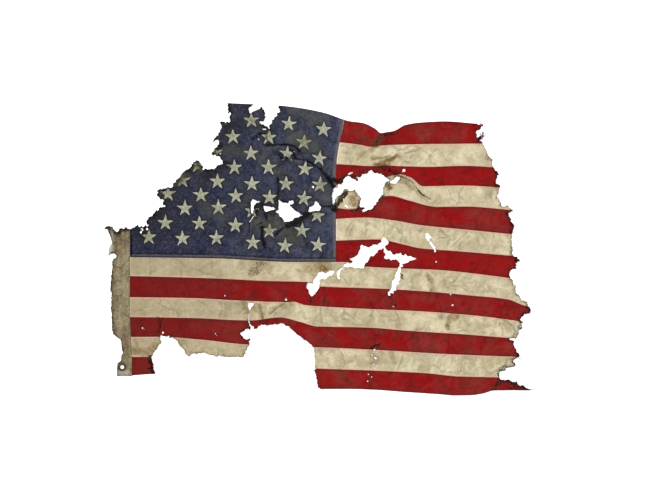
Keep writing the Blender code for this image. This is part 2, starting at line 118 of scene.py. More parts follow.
# %% Noise
def rough(points, size, seed):
    """Noise from -1 to 1. Corner (i, j) of a lattice gets
    fract(sin(i * 127.1 + j * 311.7 + seed * 74.7) * 43758.5), eased between the corners."""
    cell = points / size
    corner = np.floor(cell)
    t = cell - corner
    t = t * t * (3 - 2 * t)

    def value(step_x, step_y):
        mixed = (corner[:, 0] + step_x) * 127.1 + (corner[:, 1] + step_y) * 311.7 + seed * 74.7
        return np.mod(np.sin(mixed) * 43758.5453, 1.0) * 2 - 1

    low = value(0, 0) * (1 - t[:, 0]) + value(1, 0) * t[:, 0]
    high = value(0, 1) * (1 - t[:, 0]) + value(1, 1) * t[:, 0]
    return low * (1 - t[:, 1]) + high * t[:, 1]


def cloudy(points, size, seed):
    """Three layers of noise, each half as large and half as strong as the one before."""
    return sum(rough(points, size / 2**layer, seed + layer * 3) / 2**layer for layer in range(3)) / 1.75


# %% Distance to a line, a ring or a place
FAR = 9.0
TINY = 1e-12


def line_distance(points, line, closed=False):
    """Least distance to the runs of a line: |p - start - t * run|, where t is
    (p - start) . run / run . run, held between 0 and 1."""
    start = np.asarray(line, dtype=float)
    end = np.roll(start, -1, axis=0)
    if not closed:
        start, end = start[:-1], end[:-1]
    least = np.full(len(points), FAR)
    for a, run in zip(start, end - start):
        offset = points - a
        t = np.clip(offset @ run / max(run @ run, TINY), 0.0, 1.0)
        least = np.minimum(least, np.hypot(offset[:, 0] - t * run[0], offset[:, 1] - t * run[1]))
    return least


def ring_distance(points, ring):
    """Signed distance to a ring, below zero inside it. A point is inside if a level ray from it meets the
    ring an odd number of times."""
    inside = np.zeros(len(points), dtype=bool)
    for (ax, ay), (bx, by) in zip(ring, np.roll(ring, -1, axis=0)):
        spans = (ay > points[:, 1]) != (by > points[:, 1])
        meets = (bx - ax) * (points[:, 1] - ay) / (by - ay if by != ay else TINY) + ax
        inside ^= spans & (points[:, 0] < meets)
    away = line_distance(points, ring, closed=True)
    return np.where(inside, -away, away)


def distance_to(points, spot):
    """Distance of each point to one place."""
    return np.hypot(*(points - spot).T)


def close_to(points, line, reach):
    """Say which points lie in the box round a line, widened by a reach."""
    return np.all((points > line.min(axis=0) - reach) & (points < line.max(axis=0) + reach), axis=1)


# %% [markdown]
# The seams are the skeleton of the flag. Each seam is a smooth line from the hoist to the fly, written as a
# few places where its height changes: they sag and crowd together where the cloth is gathered. The hems at
# the top and the foot are two more such lines.

# %% Seams and hems
SEAMS = {
    0: ((215, 102.6), (250, 104), (278.5, 105.5), (297, 107.5), (325, 113), (349, 121), (363, 123),
        (375, 128.5), (381, 133.2), (387, 132.2), (393, 131.2), (397, 129.4), (405, 125), (420, 122.5),
        (445, 121.3), (475, 123.5), (500, 126)),
    1: ((330, 141.4), (346, 143), (360, 144.8), (371, 146.8), (380, 145.9), (390, 145), (430, 144),
        (490, 143.6)),
    2: ((330, 163.8), (350, 165), (372, 166.3), (386, 165.8), (400, 166.3), (430, 167), (462, 166),
        (500, 167.8)),
    3: ((330, 186), (360, 184), (383, 178), (400, 174.5), (411, 178), (423, 186.3), (460, 185.5),
        (505, 187.8)),
    4: ((330, 207.2), (352, 209.5), (374, 199), (390, 196), (410, 201), (437, 207), (465, 206.7),
        (515, 210.5)),
    5: ((330, 219.3), (365, 217.5), (395, 220.5), (420, 225), (465, 229.5), (520, 235)),
    6: ((330, 241), (378, 239.5), (400, 243.7), (420, 248.3), (460, 251.5), (520, 256.6)),
    7: ((120, 257), (220, 258.5), (260, 260.7), (290, 262), (345, 262), (365, 266.5), (400, 268.3),
        (440, 270), (470, 273), (515, 278.7)),
    8: ((120, 275.8), (215, 278.5), (265, 281), (305, 282), (320, 286.5), (375, 288.5), (425, 291.5),
        (470, 295.5), (508, 299.5), (521, 304.5), (532, 308)),
    9: ((120, 297), (190, 298), (240, 300.5), (285, 302), (294, 301.7), (305, 305), (350, 308),
        (425, 311.5), (475, 315.5), (530, 322.5)),
    10: ((120, 317), (190, 318), (250, 320.5), (280, 317.5), (300, 322), (318, 326.5), (365, 327.5),
         (410, 331), (465, 334.5), (525, 339.5)),
    11: ((120, 337), (160, 336.8), (200, 339.5), (248, 344.5), (314, 347), (370, 349.5), (440, 353.6),
         (490, 355.8), (525, 357)),
    12: ((120, 357), (152, 357), (315, 368.5), (370, 370.5), (425, 373.2), (460, 376.5), (525, 378)),
    13: ((120, 377), (132, 375.5), (154.5, 374), (326, 389), (350, 389), (375, 389.8), (405, 392),
         (440, 394.3), (455, 395.5), (470, 395.3), (483, 393.5), (494, 390.5), (515, 390.3), (533, 390.3)),
}
CANTON_EDGE = ((94, 346), (119, 344), (128, 342.6), (140, 340.2), (150, 338.2), (160, 336.8), (172, 336),
               (270, 336))
HEADING_EDGE = ((94, 130), (316, 130), (337, 131), (357, 132), (404, 132))
HEADING_LEFT = 103.0
CANTON_STRIPES = 7


def seam_height(seam, x):
    """Height in metres of a seam at each x in metres."""
    return bend(place(SEAMS[seam]), x)


def edge_across(knots, y):
    """Place in metres of an upright sewn edge at each height y in metres. Its knots are pixels (y, x)."""
    downwards, across = np.array(knots, dtype=float).T
    return x_of(np.interp(MIDDLE[1] - y / PIXEL, downwards, across))


print("seams and hems:", len(SEAMS))

# %% [markdown]
# What the fire and the tears took is a list of closed rings, drawn past the flag's edge where a piece of the
# edge is gone. Each ring has four figures: burn is how black its edge is (0 to 1), char how wide the black
# is, scorch how far the brown reaches, and ragged how far the edge is nibbled away in and out. A burnt edge
# of cotton is lacy, with tiny holes behind it, and a torn one is cleaner. The torn fly end has a row for
# each stripe.

# %% The torn fly end, from the upper seam of each stripe to its lower one
FLY_ENDS = {
    1: ((475, 123.5), (479, 124.5), (483, 125.5), (480.5, 127.5), (480, 130), (476.5, 131), (476, 133.5),
        (477.5, 137), (479, 141), (482.5, 142)),
    2: ((485, 147.5), (487, 151.5), (488, 155), (490, 159), (492.5, 161.5), (491.5, 165), (494, 168)),
    3: ((498, 171), (498.5, 174), (495.5, 181), (496, 184), (499, 184.5), (500, 187)),
    4: ((498, 188.5), (499.5, 191), (498, 198), (499, 201), (501, 204.5), (505, 206), (508, 205)),
    5: ((510, 206), (512, 211), (510, 213.5), (508, 213), (511.5, 218), (511.5, 221.5), (515, 226.5),
        (513, 231), (511, 234)),
    6: ((511.5, 239), (512.5, 245), (512, 255.7)),
    7: ((515, 255), (517, 259), (520, 260), (517, 261.5), (515, 268), (511, 269.5), (509.5, 273.5),
        (510, 278)),
    8: ((512.5, 281.5), (514, 284.5), (516, 287), (514.5, 290), (519.5, 296.5), (522.5, 299.5), (527, 302)),
    9: ((528, 305), (527, 306), (531.5, 310.3), (529, 313.5), (525, 315), (522.5, 316), (519.5, 319.5)),
    10: ((522.5, 322.5), (519, 321), (520, 326), (521.5, 328.5), (519.5, 330), (519.5, 333), (515.5, 339)),
    11: ((513, 338.5), (510, 339.5), (514, 341), (514.5, 346), (516, 351), (518, 355)),
    12: ((517, 357.5), (513, 360), (513.5, 362), (517.5, 364), (514, 366.5), (507, 368), (505.5, 370.5),
         (502.5, 370.5), (500, 372), (499, 376)),
    13: ((500.5, 380), (509, 380), (511, 382), (516, 382.5), (524, 387), (531.3, 389.5), (533, 392)),
}
FLY_CUT = ((475, 95), *[spot for stripe in FLY_ENDS.values() for spot in stripe], (550, 400), (550, 95))

# %% The burnt corner and the burnt end of the heading
CORNER_CUT = (
    (227.5, 90), (227.5, 103), (228.5, 108), (229.5, 121), (224, 121.5), (219.5, 122), (221, 130),
    (215, 137.5), (212.5, 142.5), (216, 139.5), (218.5, 140), (219, 143), (216.5, 148), (211.5, 154),
    (213, 156), (219, 156.5), (222.5, 160.5), (223.5, 163), (216, 165), (213, 168.5), (209, 170),
    (205, 169.5), (202.5, 168), (200, 162), (196.5, 160.5), (193.5, 163), (190, 169.5), (186, 170.5),
    (183, 172.5), (177, 179.5), (171, 186.5), (167, 187.5), (160, 189.5), (157, 194.5), (160, 199.5),
    (164, 200), (163, 203), (164, 206), (158, 210), (152, 215.5), (147, 221), (148, 227), (146, 226.5),
    (142, 227), (143, 229), (141.5, 233), (139.5, 229), (138, 226), (134, 226.8), (130, 229), (124, 227.5),
    (120, 229), (118.5, 234), (115, 230.5), (112, 227), (109.5, 226.5), (104.5, 228.5), (95, 228), (95, 90),
)
HOIST_CUT = (
    (104.5, 228.5), (108, 229.5), (109, 233), (111.5, 241), (112, 243.5), (109.5, 247), (107, 258),
    (110, 255), (113.5, 253.5), (116, 253.5), (117, 256), (116, 258), (113.5, 259.5), (112, 265),
    (111.5, 275), (110.5, 288), (111.5, 295), (111, 303), (112, 320), (112.5, 330), (113.5, 334),
    (118, 337), (120.5, 340), (121.5, 347), (123, 352), (121, 357), (120.5, 361), (118.5, 363), (117, 366),
    (117, 375), (119, 377), (119, 388), (90, 388), (90, 229),
)

# %% The bays in the foot, the gap in the top edge and the holes
CUTS = {
    "burnt corner": dict(burn=1.00, char=0.0062, scorch=0.013, ragged=0.0056, lacy=1, points=CORNER_CUT),
    "worn hoist edge": dict(burn=1.00, char=0.0036, scorch=0.007, ragged=0.0022, lacy=0, points=HOIST_CUT),
    "torn fly end": dict(burn=1.00, char=0.0066, scorch=0.004, ragged=0.0044, lacy=0, points=FLY_CUT),
    "gap in the top edge": dict(burn=0.95, char=0.0042, scorch=0.008, ragged=0.0038, lacy=1, points=(
        (277, 90), (278.5, 105.5), (280, 112), (277, 115), (271.5, 120), (271.5, 123), (268, 125.5),
        (270, 128.5), (271, 131), (266, 126.5), (260.5, 122.5), (264, 121.5), (265.5, 115.5),
        (263.5, 109.5), (261.5, 105.5), (259, 109), (254.5, 110.5), (251.5, 113), (248.5, 111),
        (248.5, 108.5), (251, 107), (253.5, 104.5), (254, 90))),
    "bay at the hoist": dict(burn=0.60, char=0.0026, scorch=0.007, ragged=0.0036, lacy=0, points=(
        (154, 405), (154.5, 374), (155, 371.5), (153, 369), (153, 363), (151.5, 357), (155, 351),
        (158.5, 349), (159, 345), (162, 343.5), (161, 340), (160, 336), (169, 336), (170, 338.5),
        (172, 337), (178, 341.5), (181, 346.5), (189, 356), (192, 354), (197, 353), (203, 353), (210, 355),
        (218, 356), (230, 356.5), (243, 357), (246, 353), (249.5, 344), (250, 339), (247, 339.5),
        (243, 338), (240, 333), (242, 331), (246, 328.5), (250, 329.5), (251.5, 327), (249, 324),
        (248.2, 320), (249.3, 319.8), (250.2, 323.6), (252.8, 327), (254, 331), (257, 340), (257, 405))),
    "bay in the middle": dict(burn=0.35, char=0.0018, scorch=0.006, ragged=0.0034, lacy=0, points=(
        (251.9, 405), (251.9, 330), (255, 329.5), (260, 325.5), (270, 325.5), (278, 324), (281.5, 322.5),
        (283, 324.5), (290, 327), (297, 334), (303, 339), (313.5, 347.5), (314.5, 352), (314.5, 360),
        (315, 375), (318, 385), (319.5, 388), (324, 389.5), (326, 405))),
    "big gap by the canton": dict(burn=0.70, char=0.0034, scorch=0.009, ragged=0.0036, lacy=0, points=(
        (337, 184), (339, 183), (341.5, 184.5), (344.5, 179), (347.5, 176.5), (353, 179.5), (357.5, 180.5),
        (357, 177.5), (361, 175.5), (368, 173.5), (371, 171), (376, 173.5), (381, 174.5), (389.5, 180),
        (385, 184), (383, 190.5), (383, 195.7), (376.5, 202.5), (371, 209.5), (366, 210.5), (363, 212.5),
        (361.5, 211.5), (364.5, 208), (360.5, 206.5), (359.5, 203), (361, 199), (360, 196), (357, 195),
        (354.5, 190), (350, 190.5), (347, 189), (344, 190), (341, 194), (337, 197), (333, 205), (332, 197),
        (333, 191), (334, 188.5), (337.5, 186.5))),
    "lobe of the long tear": dict(burn=0.35, char=0.0018, scorch=0.006, ragged=0.0040, lacy=0, points=(
        (308.5, 283), (306.5, 286.5), (308, 290.5), (311.5, 298), (313.5, 295.5), (316, 294.5),
        (318.5, 290), (319.5, 281), (321.5, 279), (325, 279), (327, 276.5), (332, 275), (335, 272.5),
        (334, 270.5), (329, 271), (325, 273), (322, 271.5), (314, 279), (313, 282.5))),
    "long tear": dict(burn=0.40, char=0.0018, scorch=0.006, ragged=0.0048, lacy=0, points=(
        (336.5, 270), (338.5, 277.5), (340, 276), (341, 271.5), (344, 267), (351, 266.5), (358, 269),
        (362, 268), (364.5, 270), (363.5, 265), (366, 263), (371, 256.5), (378, 251), (380, 248),
        (383.5, 250), (385, 254), (384, 258.5), (388, 259), (392.5, 260), (396, 259.5), (400, 263),
        (397.5, 269), (395.5, 275), (393, 280.5), (391, 285.5), (391, 289), (388.5, 292), (389, 293.5),
        (394.5, 289), (398.5, 283), (400, 273), (402, 264), (406, 263), (409, 261), (417, 258.5),
        (413, 257.5), (408, 256), (400, 253.5), (394, 254), (390, 252), (387, 249.5), (386, 246),
        (388, 241.5), (386, 239), (384.5, 237), (379.5, 242), (377, 245), (373, 245), (367, 247.5),
        (362, 246.5), (360, 250), (358, 254.5), (353, 257), (351, 259), (353, 261.5), (344, 265.5),
        (340, 269))),
    "tear in stripes 6 and 7": dict(burn=0.20, char=0.0010, scorch=0.004, ragged=0.0034, lacy=0, points=(
        (425, 233), (426.5, 232.5), (430.5, 237), (430, 240), (434, 246.5), (435.5, 250.5), (435, 253.5),
        (432.5, 247), (427, 240))),
    "hole in stripe 10": dict(burn=0.15, char=0.0010, scorch=0.005, ragged=0.0014, lacy=0, points=(
        (248.5, 302.5), (255, 303), (252, 307), (250, 309.5), (248, 308), (247.5, 305))),
    "crack in stripe 10": dict(burn=0.10, char=0.0008, scorch=0.003, ragged=0.0006, lacy=0, points=(
        (249.2, 309), (249.9, 309), (249.4, 315), (249.2, 320), (250.9, 326.5), (249.6, 326.5),
        (248.2, 320))),
    "first hole in the canton": dict(burn=0.90, char=0.0034, scorch=0.007, ragged=0.0024, lacy=1, points=(
        (252.5, 199.5), (251, 203), (250.5, 208), (251, 212), (253, 214.5), (254, 206), (256, 203),
        (260, 201.5))),
    "slit in the canton": dict(burn=0.80, char=0.0020, scorch=0.004, ragged=0.0008, lacy=0, points=(
        (253, 216), (254, 216.5), (250, 222.8), (249, 222))),
    "second hole in the canton": dict(burn=0.90, char=0.0034, scorch=0.007, ragged=0.0022, lacy=1, points=(
        (263, 206), (273, 207.5), (276, 209.5), (272, 210), (265, 212), (264, 208))),
    "third hole in the canton": dict(burn=0.90, char=0.0036, scorch=0.008, ragged=0.0028, lacy=1, points=(
        (279, 200), (281.5, 202), (287.5, 203.5), (290, 201), (292.5, 201), (294, 203), (289.5, 205),
        (293, 208.5), (299, 214), (302, 215.5), (294, 219), (288, 221.5), (284.5, 221.5), (279, 214.5),
        (275.5, 212), (279, 209.5), (278.5, 205))),
    "fourth hole in the canton": dict(burn=0.90, char=0.0034, scorch=0.008, ragged=0.0022, lacy=0, points=(
        (316, 200.5), (321, 207), (320, 210.5), (316, 210.5), (308, 212), (309.5, 208), (313, 206))),
    "slot in stripe 4": dict(burn=0.50, char=0.0020, scorch=0.006, ragged=0.0016, lacy=0, points=(
        (390, 181), (393, 180), (396, 176.5), (401, 177), (399, 180), (396, 183), (390, 183.7))),
    "crescent in stripe 3": dict(burn=0.40, char=0.0014, scorch=0.005, ragged=0.0008, lacy=0, points=(
        (346.8, 175.3), (349.5, 172.3), (353.5, 171.8), (353, 173.2), (350, 174.6))),
    "sliver under the top gap": dict(burn=0.80, char=0.0016, scorch=0.004, ragged=0.0006, lacy=0, points=(
        (262, 128.5), (266.5, 128.6), (266, 130.3), (262.8, 130))),
}

# %% Rounded lumps along the burnt corner
# Each row holds x, y and radius in pixels, and how far the lump is charred, 0 to 1.
LUMPS = (
    (148.3, 221.8, 2.1, 0.9), (151.5, 218.6, 2.3, 0.9), (154.6, 214.9, 1.8, 0.9), (157.9, 212.6, 1.9, 0.9),
    (160.7, 208.9, 2.0, 0.9), (164.5, 203.6, 1.9, 0.9), (161.4, 197.6, 2.0, 0.9), (158.6, 194.6, 1.9, 0.5),
    (160.6, 191.2, 2.2, 0.5), (164.0, 190.2, 2.0, 0.6), (183.6, 175.2, 1.7, 0.7), (186.2, 173.2, 1.8, 0.8),
    (192.4, 168.2, 2.1, 0.7), (194.6, 165.0, 2.0, 0.6), (196.8, 162.9, 1.6, 0.8), (199.3, 164.9, 2.2, 0.3),
    (200.8, 167.6, 2.2, 0.3), (205.0, 171.6, 2.3, 0.6), (208.4, 171.4, 2.2, 0.8), (217.6, 148.6, 1.9, 0.7),
    (216.0, 151.6, 2.2, 0.4), (213.4, 154.2, 1.5, 0.8), (217.2, 154.6, 2.0, 0.4), (224.0, 123.4, 1.7, 0.5),
    (227.4, 123.6, 2.0, 0.5), (219.8, 134.2, 1.9, 0.6), (217.4, 138.0, 1.2, 0.8), (138.0, 228.0, 1.1, 0.9),
    (144.5, 227.6, 1.2, 0.9),
)

# %% Round holes, from sparks and wear
# Each row holds x, y and radius in pixels.
SPARKS = (
    (220.4, 153.6, 0.8), (404, 170.5, 1.5), (402.5, 171.8, 0.8), (286, 299.5, 1.1), (286.4, 297.8, 0.7),
    (225, 295.5, 0.7), (142.5, 328, 1.0), (140.6, 326.8, 0.6), (144, 329.6, 0.6), (163, 332.5, 1.0),
    (215.5, 333.6, 0.9), (216.6, 335.4, 0.6), (436, 262, 0.9), (429.5, 280, 0.7), (450.5, 294, 0.9),
    (452.5, 305, 0.8), (393.5, 306.5, 0.7), (368.5, 374.2, 0.7), (371.6, 377, 0.6), (367.6, 381.2, 0.8),
    (374.6, 349.8, 0.9), (373, 350.6, 0.6), (372.2, 355, 0.7), (374.6, 357.2, 0.6), (376, 358.5, 0.7),
    (373.6, 364.2, 0.8), (375, 363.6, 0.6), (147, 229, 1.1), (345.5, 205.6, 1.1), (347.4, 207, 0.8),
    (342, 204, 0.7), (313, 187, 1.0), (315.5, 189, 0.8), (258.5, 139.5, 0.8), (422.5, 229.6, 0.6),
    (419, 230.4, 0.5),
)

# %% How far each point of the cloth is from what is gone
REACH = 0.06
LACE_DEPTH = 0.0034
LACE_SHARE = 0.42
LUMP_RAGGED = 0.0007
LUMP_RIM = 0.0016
SPARK_RAGGED = 0.0009
SPARK_CHAR = 0.0014
SPARK_SCORCH = 0.003


def wear_at(points):
    """Return clear (metres to the nearest cut, its ragged edge taken off), char and scorch, both 0 to 1."""
    clear = np.full(len(points), REACH)
    char = np.zeros(len(points))
    scorch = np.zeros(len(points))
    nibble = 0.9 * rough(points, 0.0085, 5) + 0.7 * rough(points, 0.0046, 6) + 0.5 * rough(points, 0.021, 8)
    patch = 0.5 + 0.5 * cloudy(points, 0.024, 9)
    pinprick = LACE_DEPTH * (0.62 - rough(points, 0.0062, 12))
    for cut in CUTS.values():
        ring = place(cut["points"])
        near = close_to(points, ring, REACH)
        edge = ring_distance(points[near], ring) - cut["ragged"] * nibble[near]
        if cut["lacy"]:
            edge = np.minimum(edge, pinprick[near] + LACE_SHARE * np.abs(edge))
        clear[near] = np.minimum(clear[near], edge)
        depth = np.maximum(edge, 0.0)
        black = cut["burn"] * bell(depth, cut["char"] * (0.35 + 1.5 * patch[near]))
        char[near] = np.maximum(char[near], black * (0.35 + 0.9 * patch[near]))
        brown = cut["burn"] * np.exp(-depth / (cut["scorch"] * (0.3 + 1.2 * patch[near])))
        scorch[near] = np.maximum(scorch[near], brown)
    for x, y, radius, burnt in LUMPS:
        depth = radius * PIXEL - distance_to(points, place((x, y))[0]) - LUMP_RAGGED * nibble
        clear = np.maximum(clear, depth)
        char = np.where(depth > 0, np.minimum(char, burnt + 0.5 * bell(depth, LUMP_RIM)), char)
    for x, y, radius in SPARKS:
        away = distance_to(points, place((x, y))[0]) - radius * PIXEL
        near = away < REACH / 3
        edge = away[near] - SPARK_RAGGED * nibble[near]
        clear[near] = np.minimum(clear[near], edge)
        depth = np.maximum(edge, 0.0)
        char[near] = np.maximum(char[near], 0.5 * bell(depth, SPARK_CHAR))
        scorch[near] = np.maximum(scorch[near], 0.4 * np.exp(-depth / SPARK_SCORCH))
    return clear, np.clip(char, 0.0, 1.0), np.clip(scorch, 0.0, 1.0)


print("cuts:", ", ".join(CUTS))
print("lumps:", len(LUMPS), "round holes:", len(SPARKS))

# %% [markdown]
# The folds are the same low ridges as in the solid model, so the fine cloth lies where the solids lie. On top
# of them go the creases, which only show in the fine cloth: a crease is a narrow trough with a soft swelling
# on each side, and its colour is darkened, partly by dirt and partly by painted shade. Last comes a slight
# crumple all over.

# %% Folds
# Each row holds where a ridge starts and ends, in pixels, and its height and half width in metres.
FOLDS = (
    ((386, 131), (378, 150), 0.011, 0.026), ((378, 150), (372, 166), 0.006, 0.024),
    ((378, 163), (413, 179), 0.009, 0.022), ((413, 179), (432, 199.5), 0.008, 0.019),
    ((375, 160), (410, 151), 0.005, 0.018), ((272, 146.5), (300, 152), 0.006, 0.020),
    ((300, 158), (334, 188), 0.007, 0.022), ((277.5, 176), (277.5, 200), 0.005, 0.018),
    ((264, 214), (268, 248), 0.006, 0.020), ((275, 236), (305, 214), 0.006, 0.022),
    ((349, 222), (346, 240), 0.004, 0.016), ((304, 288), (318, 344), 0.007, 0.024),
    ((263, 303), (263, 320), 0.005, 0.016), ((270, 311), (288, 302), 0.005, 0.016),
    ((150, 248), (232, 266), 0.004, 0.040), ((176, 305), (190, 336), 0.004, 0.032),
    ((468, 142), (486, 192), 0.005, 0.036), ((440, 318), (455, 382), 0.005, 0.036),
    ((372, 292), (360, 346), 0.004, 0.036), ((357, 180), (381, 175), 0.005, 0.016),
    ((366, 262), (380, 251), 0.006, 0.015), ((514, 323), (519, 327), 0.007, 0.014),
    ((262, 106), (262, 112), 0.006, 0.014), ((104.5, 228.5), (107, 231), 0.006, 0.014),
    ((172, 187), (196, 165), 0.005, 0.014), ((527, 307), (531.5, 310.3), 0.006, 0.014),
    ((520, 387), (531, 389.5), 0.004, 0.016), ((188, 350), (189, 356), 0.005, 0.014),
)

# %% Creases
# Each row holds depth and half width in metres, how dark its dirt and painted shade are, and the places it
# passes.
CREASES = (
    (0.0026, 0.0062, 1.00, ((267, 145.5), (276, 145), (288, 144.7), (295, 146.3), (300, 151.5))),
    (0.0024, 0.0056, 1.00, ((290, 150), (294, 153), (295, 158.5), (305, 160.5), (311.8, 163), (320.5, 170),
                            (328.5, 178.5), (336.5, 182.5))),
    (0.0022, 0.0060, 1.00, ((321, 168.5), (328, 179), (333.5, 188))),
    (0.0014, 0.0042, 0.80, ((278, 155), (283, 157.5), (291, 158))),
    (0.0020, 0.0050, 1.00, ((277.8, 176.5), (279, 190), (277, 201))),
    (0.0016, 0.0036, 0.80, ((264.5, 132), (268.5, 144))),
    (0.0020, 0.0056, 1.00, ((263.5, 206), (265, 212), (267, 219.5))),
    (0.0022, 0.0085, 1.00, ((262.5, 228), (262, 236), (264, 243), (265.5, 249))),
    (0.0016, 0.0040, 0.80, ((257.5, 225), (262, 222.5))),
    (0.0022, 0.0048, 1.00, ((272, 238), (277, 234), (283, 228))),
    (0.0024, 0.0085, 1.00, ((288, 227), (296, 223.5), (304, 217.5), (312, 213.5))),
    (0.0018, 0.0036, 0.90, ((219, 162.8), (226, 162.5), (232, 164))),
    (0.0020, 0.0064, 1.00, ((320, 206), (328, 206.5), (333, 206))),
    (0.0016, 0.0036, 0.85, ((249.8, 221), (249.2, 232))),
    (0.0012, 0.0040, 0.75, ((255, 203.5), (261, 205), (263, 209))),
    (0.0012, 0.0030, 0.50, ((306, 178), (309, 188), (306, 196))),
    (0.0010, 0.0028, 0.45, ((231, 118), (240, 127), (246, 139))),
    (0.0010, 0.0028, 0.40, ((205, 199), (213, 205), (226, 210))),
    (0.0010, 0.0028, 0.40, ((172, 207), (181, 214), (190, 219))),
    (0.0010, 0.0028, 0.40, ((237, 200), (243, 213), (241, 233))),
    (0.0010, 0.0028, 0.40, ((296, 113), (305, 121), (313, 137))),
    (0.0010, 0.0028, 0.40, ((236, 172), (250, 175.5), (266, 177))),
    (0.0022, 0.0034, 0.90, ((390, 171), (396, 175), (402, 177))),
    (0.0022, 0.0034, 0.95, ((402, 177), (408, 179.5), (413.5, 183.5), (417, 189), (421.5, 194.5),
    (431, 199.8))),
    (0.0012, 0.0024, 0.60, ((415, 190), (419, 195.5), (427, 200.5))),
    (0.0014, 0.0036, 0.55, ((380, 161.8), (387, 161.3), (392, 159.5), (397, 156.2))),
    (0.0010, 0.0030, 0.35, ((371, 160.6), (380, 158.6), (389, 157))),
    (0.0012, 0.0030, 0.55, ((405, 154), (411, 152), (417, 151))),
    (0.0009, 0.0022, 0.40, ((427, 161.5), (432, 154), (437, 149))),
    (0.0009, 0.0030, 0.30, ((357, 161.5), (363, 155), (370, 150))),
    (0.0014, 0.0034, 0.50, ((382, 134), (378, 141), (373.5, 147))),
    (0.0008, 0.0030, 0.35, ((409, 210), (411, 215), (414, 221))),
    (0.0012, 0.0026, 0.50, ((351.5, 223), (348, 228), (345.7, 236))),
    (0.0009, 0.0030, 0.40, ((383, 221), (385, 229), (384, 236))),
    (0.0010, 0.0030, 0.40, ((467, 232.5), (460, 239), (453, 246))),
    (0.0008, 0.0028, 0.35, ((366, 224), (367, 231), (365, 237))),
    (0.0008, 0.0026, 0.35, ((150.5, 258.6), (151, 268.7))),
    (0.0008, 0.0028, 0.35, ((199, 272), (206, 266), (213.5, 261.5))),
    (0.0008, 0.0028, 0.35, ((181, 261), (186, 269), (189, 275))),
    (0.0010, 0.0028, 0.40, ((169, 302), (173, 308), (174.5, 315))),
    (0.0009, 0.0028, 0.38, ((197, 300.5), (205, 304.5), (210, 311), (215, 313))),
    (0.0018, 0.0034, 0.70, ((260.5, 304.5), (261, 312), (263, 320))),
    (0.0014, 0.0028, 0.60, ((270, 315), (276, 309), (283, 304.5))),
    (0.0012, 0.0028, 0.45, ((299, 303), (301, 308), (303.5, 314))),
    (0.0014, 0.0034, 0.70, ((163.5, 317), (161, 322), (160, 332))),
    (0.0010, 0.0026, 0.40, ((185, 280), (185.5, 288), (185, 296))),
    (0.0016, 0.0030, 0.55, ((324.5, 288), (325, 297), (324.5, 306))),
    (0.0012, 0.0030, 0.40, ((321.5, 308), (321, 314), (322.5, 321.5))),
    (0.0012, 0.0028, 0.40, ((396, 312), (399, 318), (400.5, 326))),
    (0.0016, 0.0030, 0.60, ((499, 318), (507, 321.5), (512, 326), (515.5, 332), (513, 337))),
    (0.0009, 0.0020, 0.40, ((461.7, 357), (461.5, 371))),
    (0.0009, 0.0024, 0.35, ((404, 353), (402, 361), (398.5, 368))),
    (0.0014, 0.0030, 0.45, ((115, 236), (117, 244), (116, 252), (118, 262))),
    (0.0010, 0.0026, 0.30, ((121, 236), (121.5, 248), (123, 262), (122, 280))),
    (0.0010, 0.0026, 0.25, ((117, 290), (119, 306), (117, 322))),
)

